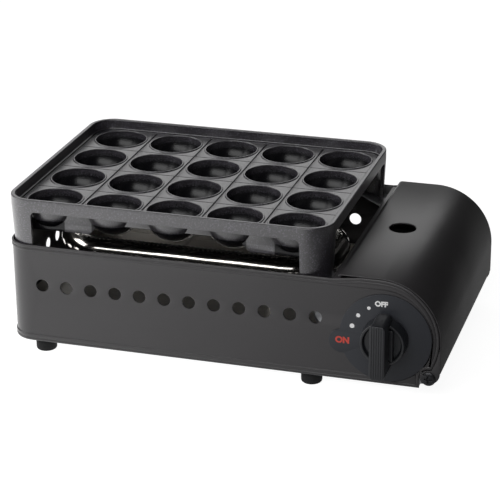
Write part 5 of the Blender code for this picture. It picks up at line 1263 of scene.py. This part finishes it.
def make_floor(settings):
    """A floor that shows white to the camera, darker in the shade, and its own light in reflections."""
    mesh = bpy.data.meshes.new("floor")
    half = FLOOR_HALF
    corners = [(-half, -half, 0), (half, -half, 0), (half, half, 0), (-half, half, 0)]
    mesh.from_pydata(corners, [], [(0, 1, 2, 3)])
    item = bpy.data.objects.new("floor", mesh)
    bpy.context.scene.collection.objects.link(item)
    material = bpy.data.materials.new("floor_white")
    material.use_nodes = True
    nodes, links = material.node_tree.nodes, material.node_tree.links
    nodes.clear()
    out = nodes.new("ShaderNodeOutputMaterial")
    add = nodes.new("ShaderNodeAddShader")
    diffuse = nodes.new("ShaderNodeBsdfDiffuse")
    glow = nodes.new("ShaderNodeEmission")
    diffuse.inputs["Color"].default_value = (settings.floor_shade,) * 3 + (1,)
    path = nodes.new("ShaderNodeLightPath")
    mirrored = spread(nodes, links, places(nodes, links)["X"], settings.floor_left, settings.floor_right,
                      -FLOOR_FADE, FLOOR_FADE)
    lit = joined(nodes, links, path.outputs["Is Glossy Ray"], mirrored)
    seen = spread(nodes, links, path.outputs["Is Camera Ray"], 0, settings.floor_glow, 0, 1)
    links.new(joined(nodes, links, seen, lit, "ADD"), glow.inputs["Strength"])
    links.new(diffuse.outputs["BSDF"], add.inputs[0])
    links.new(glow.outputs["Emission"], add.inputs[1])
    links.new(add.outputs["Shader"], out.inputs["Surface"])
    mesh.materials.append(material)


def make_world(settings):
    """White for the camera, and its own level for light and for reflections."""
    world = bpy.data.worlds.new("studio")
    world.use_nodes = True
    nodes, links = world.node_tree.nodes, world.node_tree.links
    background = nodes["Background"]
    background.inputs["Color"].default_value = (1, 1, 1, 1)
    path = nodes.new("ShaderNodeLightPath")
    seen = spread(nodes, links, path.outputs["Is Camera Ray"], settings.sky_light, 1.0, 0, 1)
    links.new(seen, background.inputs["Strength"])
    bpy.context.scene.world = world


def make_camera(settings):
    """The camera by its place, its heading and tilt in degrees and its roll."""
    azimuth, elevation, roll = map(math.radians, (settings.azimuth, settings.elevation, settings.roll))
    back = Vector((math.sin(azimuth) * math.cos(elevation), -math.cos(azimuth) * math.cos(elevation),
                   math.sin(elevation)))
    right = (-back).cross(Vector((0, 0, 1))).normalized()
    up = right.cross(-back)
    turned_right = right * math.cos(roll) + up * math.sin(roll)
    turned_up = up * math.cos(roll) - right * math.sin(roll)
    camera = bpy.data.cameras.new("camera")
    camera.lens, camera.sensor_width = settings.lens, SENSOR
    camera.clip_end = VIEW_END
    item = bpy.data.objects.new("camera", camera)
    matrix = Matrix((turned_right, turned_up, back)).transposed().to_4x4()
    item.matrix_world = Matrix.Translation(settings.place) @ matrix
    bpy.context.scene.collection.objects.link(item)
    bpy.context.scene.camera = item


# Settings that the panel shows
def number(name, description, default, **limits):
    return FloatProperty(name=name, description=description, default=default, **limits)


def length(name, description, default):
    return number(name, description, default, min=0, unit="LENGTH", precision=5)


def colour(name, description, default):
    return FloatVectorProperty(name=name, description=description, default=default, subtype="COLOR",
                               min=0, max=1)


def share(name, description, default):
    return number(name, description, default, min=0, max=1, subtype="FACTOR")


class PlateSettings(bpy.types.PropertyGroup):
    lip_height: length("Lip height", "Rise of the lip round each cup", 0.0008)
    lip_width: length("Lip width", "Width of the lip round each cup", 0.0017)
    groove_depth: length("Groove depth", "Depth of the grooves between the cups", 0.0012)
    colour: colour("Coating", "Colour of the baked coating", (0.0160, 0.0145, 0.0175))
    speck_colour: colour("Speck", "Colour of the coating's fine specks", (0.098, 0.090, 0.116))
    roughness: share("Roughness", "Roughness of the coating", 0.34)
    gloss: share("Gloss", "Strength of the coating's reflection", 0.95)
    # painted shade: the darker colour given to the coating inside the cups
    cup_colour: colour("Cup colour", "Colour of the coating inside the cups", (0.0045, 0.0043, 0.0055))
    sheen: share("Sheen", "Second, upper reflection of the coating outside the cups", 0.45)
    cup_gloss: share("Cup gloss", "Strength of the reflection inside the cups", 0.28)
    cup_polish: share("Cup polish", "Roughness inside the cups as a share of the coating's", 0.7)


class BodySettings(bpy.types.PropertyGroup):
    bead_width: length("Bead width", "Width of the rolled bead round the panels", 0.0026)
    line_depth: length("Line depth", "Depth of the fine line inside the bead", 0.0004)
    step_width: length("Step width", "Half width of the step down to the field", 0.0005)
    spindle_hole: length("Spindle hole", "Radius of the hole behind the knob", 0.0050)
    paint: colour("Paint", "Colour of the charcoal paint", (0.0305, 0.0285, 0.0305))
    fleck: colour("Fleck", "Colour of the paint's fine fleck", (0.060, 0.058, 0.060))
    roughness: share("Roughness", "Roughness of the paint", 0.36)
    gloss: share("Gloss", "Strength of the paint's reflection", 0.55)


class CoverSettings(bpy.types.PropertyGroup):
    edge_round: length("Edge rounding", "Rounding of the sheet's cut ends", 0.0003)


class DialSettings(bpy.types.PropertyGroup):
    edge_round: length("Edge rounding", "Rounding of the dial's edge", 0.00025)
    dial_colour: colour("Dial", "Colour of the printed plate", (0.028, 0.030, 0.036))
    dial_roughness: share("Dial roughness", "Roughness of the printed plate", 0.4)
    mark_white: colour("White print", "Colour of the white marks", (1.0, 1.0, 1.0))
    mark_red: colour("Red print", "Colour of the red mark", (0.62, 0.07, 0.05))
    off_width: length("OFF width", "Width of the word OFF", 0.0102)
    on_width: length("ON width", "Width of the word ON", 0.0112)


class KnobSettings(bpy.types.PropertyGroup):
    shoulder: length("Shoulder", "Width of the block beside the bar", 0.0026)
    shoulder_rise: length("Shoulder rise", "How far the block stands over the base", 0.0012)
    bar_edge: length("Bar edge", "Rounding of the bar's front edge", 0.0005)
    bar_draft: length("Bar draft", "How much narrower the bar is at its front", 0.0001)
    top_slope: length("Top slope", "How far the bar's upper end is drawn in at its front", 0.0005)
    foot_slope: length("Foot slope", "How far the bar's lower end is drawn in at its front", 0.0001)
    rib_height: length("Rib height", "Height of the grip ribs on the bar's front", 0.0003)
    knob_colour: colour("Plastic", "Colour of the knob's plastic", (0.016, 0.017, 0.020))
    knob_roughness: share("Roughness", "Roughness of the knob's plastic", 0.35)
    knob_gloss: share("Gloss", "Strength of the knob's reflection", 0.5)


class MetalSettings(bpy.types.PropertyGroup):
    steel: colour("Steel", "Colour of the burner and the tray", (0.72, 0.69, 0.65))
    burner_roughness: share("Burner roughness", "Roughness of the burner", 0.14)
    steel_roughness: share("Tray roughness", "Roughness of the tray", 0.42)
    zinc: colour("Zinc", "Colour of the zinc-plated sheets and screws", (0.46, 0.47, 0.49))


class StageSettings(bpy.types.PropertyGroup):
    place: FloatVectorProperty(name="Camera place", description="Where the camera stands", unit="LENGTH",
                               default=(0.43082, -1.40840, 0.67502))
    azimuth: number("Azimuth", "Degrees round the cooker", 17.0442)
    elevation: number("Elevation", "Degrees above the table", 22.2856)
    roll: number("Roll", "Degrees about the line of sight", -0.4983)
    lens: number("Lens", "Focal length in millimetres", 138.92)
    back_power: number("Back power", "Watts of the wide lamp behind", 11.5)
    side_power: number("Side power", "Watts of the lamp at the left", 14.0)
    strip_power: number("Strip power", "Watts of the long lamp in front", 15.0)
    sky_light: number("Sky light", "Strength of the light from all round", 0.03)
    floor_shade: share("Floor shade", "How light the floor is where it is only lit", 0.35)
    floor_glow: number("Floor glow", "Light that the floor shows to the camera", 0.92)
    floor_left: number("Floor left", "How bright its left side is in reflections", 1.6)
    floor_right: number("Floor right", "How bright its right side is in reflections", 0.0)


class CookerSettings(bpy.types.PropertyGroup):
    plate: PointerProperty(type=PlateSettings, name="Plate", description="The cast plate")
    body: PointerProperty(type=BodySettings, name="Body", description="The painted body")
    cover: PointerProperty(type=CoverSettings, name="Cover", description="The cartridge cover")
    dial: PointerProperty(type=DialSettings, name="Dial", description="The dial and its marks")
    knob: PointerProperty(type=KnobSettings, name="Knob", description="The gas knob")
    metal: PointerProperty(type=MetalSettings, name="Metal", description="Burner, tray and plated pieces")
    stage: PointerProperty(type=StageSettings, name="Stage", description="Camera, lamps and floor")


class CookerOperator:
    bl_options = {"REGISTER", "UNDO"}

    @property
    def settings(self):
        return bpy.context.scene.cooker


class COOKER_OT_plate(CookerOperator, bpy.types.Operator):
    """Make the cast plate with its cups, rim and legs"""
    bl_idname = "cooker.plate"
    bl_label = "Cooking plate"

    def execute(self, context):
        make_plate(self.settings.plate)
        return {"FINISHED"}


class COOKER_OT_body(CookerOperator, bpy.types.Operator):
    """Make the wrapped body sheet and the cartridge cover in the same paint"""
    bl_idname = "cooker.body"
    bl_label = "Body and cover"

    def execute(self, context):
        paint = make_body(self.settings.body)
        make_cover(self.settings.cover, paint)
        return {"FINISHED"}


class COOKER_OT_dial(CookerOperator, bpy.types.Operator):
    """Make the dial plate and its printed marks"""
    bl_idname = "cooker.dial"
    bl_label = "Dial"

    def execute(self, context):
        make_dial(self.settings.dial)
        make_marks(self.settings.dial)
        return {"FINISHED"}


class COOKER_OT_knob(CookerOperator, bpy.types.Operator):
    """Make the gas knob"""
    bl_idname = "cooker.knob"
    bl_label = "Knob"

    def execute(self, context):
        make_knob(self.settings.knob)
        return {"FINISHED"}


class COOKER_OT_fittings(CookerOperator, bpy.types.Operator):
    """Make the rubber feet and the hinge screws"""
    bl_idname = "cooker.fittings"
    bl_label = "Feet and hinge screws"

    def execute(self, context):
        make_feet()
        make_hinge_screws()
        return {"FINISHED"}


class COOKER_OT_burner(CookerOperator, bpy.types.Operator):
    """Make the burner's two halves and its ports"""
    bl_idname = "cooker.burner"
    bl_label = "Burner"

    def execute(self, context):
        make_burner(self.settings.metal)
        return {"FINISHED"}


class COOKER_OT_inside(CookerOperator, bpy.types.Operator):
    """Give the CAD pieces that still show their finishes"""
    bl_idname = "cooker.inside"
    bl_label = "Inner pieces"

    def execute(self, context):
        finish_inside(self.settings.metal)
        return {"FINISHED"}


class COOKER_OT_stage(CookerOperator, bpy.types.Operator):
    """Set up the camera, the lamps and the white floor"""
    bl_idname = "cooker.stage"
    bl_label = "Stage"

    def execute(self, context):
        stage = self.settings.stage
        make_camera(stage)
        make_floor(stage)
        make_world(stage)
        lamps = [add_lamp(name, *where, getattr(stage, name + "_power")) for name, where in LAMPS.items()]
        bpy.context.scene.view_settings.view_transform = "Standard"
        return {"FINISHED"}


OPERATORS = (COOKER_OT_plate, COOKER_OT_body, COOKER_OT_dial, COOKER_OT_knob, COOKER_OT_fittings,
             COOKER_OT_burner, COOKER_OT_inside, COOKER_OT_stage)
GROUPS = (PlateSettings, BodySettings, CoverSettings, DialSettings, KnobSettings, MetalSettings,
          StageSettings, CookerSettings)


class COOKER_PT_panel(bpy.types.Panel):
    """Buttons for the pieces and the settings that they read"""
    bl_idname = "COOKER_PT_panel"
    bl_label = "Takoyaki cooker"
    bl_space_type = "VIEW_3D"
    bl_region_type = "UI"
    bl_category = "Cooker"

    def draw(self, context):
        layout = self.layout
        for operator in OPERATORS:
            layout.operator(operator.bl_idname)
        cooker = context.scene.cooker
        for name in cooker.bl_rna.properties.keys():
            group = getattr(cooker, name)
            if isinstance(group, bpy.types.PropertyGroup):
                box = layout.box()
                box.label(text=cooker.bl_rna.properties[name].name)
                for setting in group.bl_rna.properties.keys():
                    if setting not in ("rna_type", "name"):
                        box.prop(group, setting)


def register():
    for group in GROUPS + OPERATORS + (COOKER_PT_panel,):
        bpy.utils.register_class(group)
    bpy.types.Scene.cooker = PointerProperty(type=CookerSettings)


def unregister():
    del bpy.types.Scene.cooker
    for group in reversed(GROUPS + OPERATORS + (COOKER_PT_panel,)):
        bpy.utils.unregister_class(group)


def main():
    register()
    for operator in (bpy.ops.cooker.plate, bpy.ops.cooker.body, bpy.ops.cooker.dial, bpy.ops.cooker.knob,
                     bpy.ops.cooker.fittings, bpy.ops.cooker.burner, bpy.ops.cooker.inside,
                     bpy.ops.cooker.stage):
        operator()


if __name__ == "__main__":
    main()
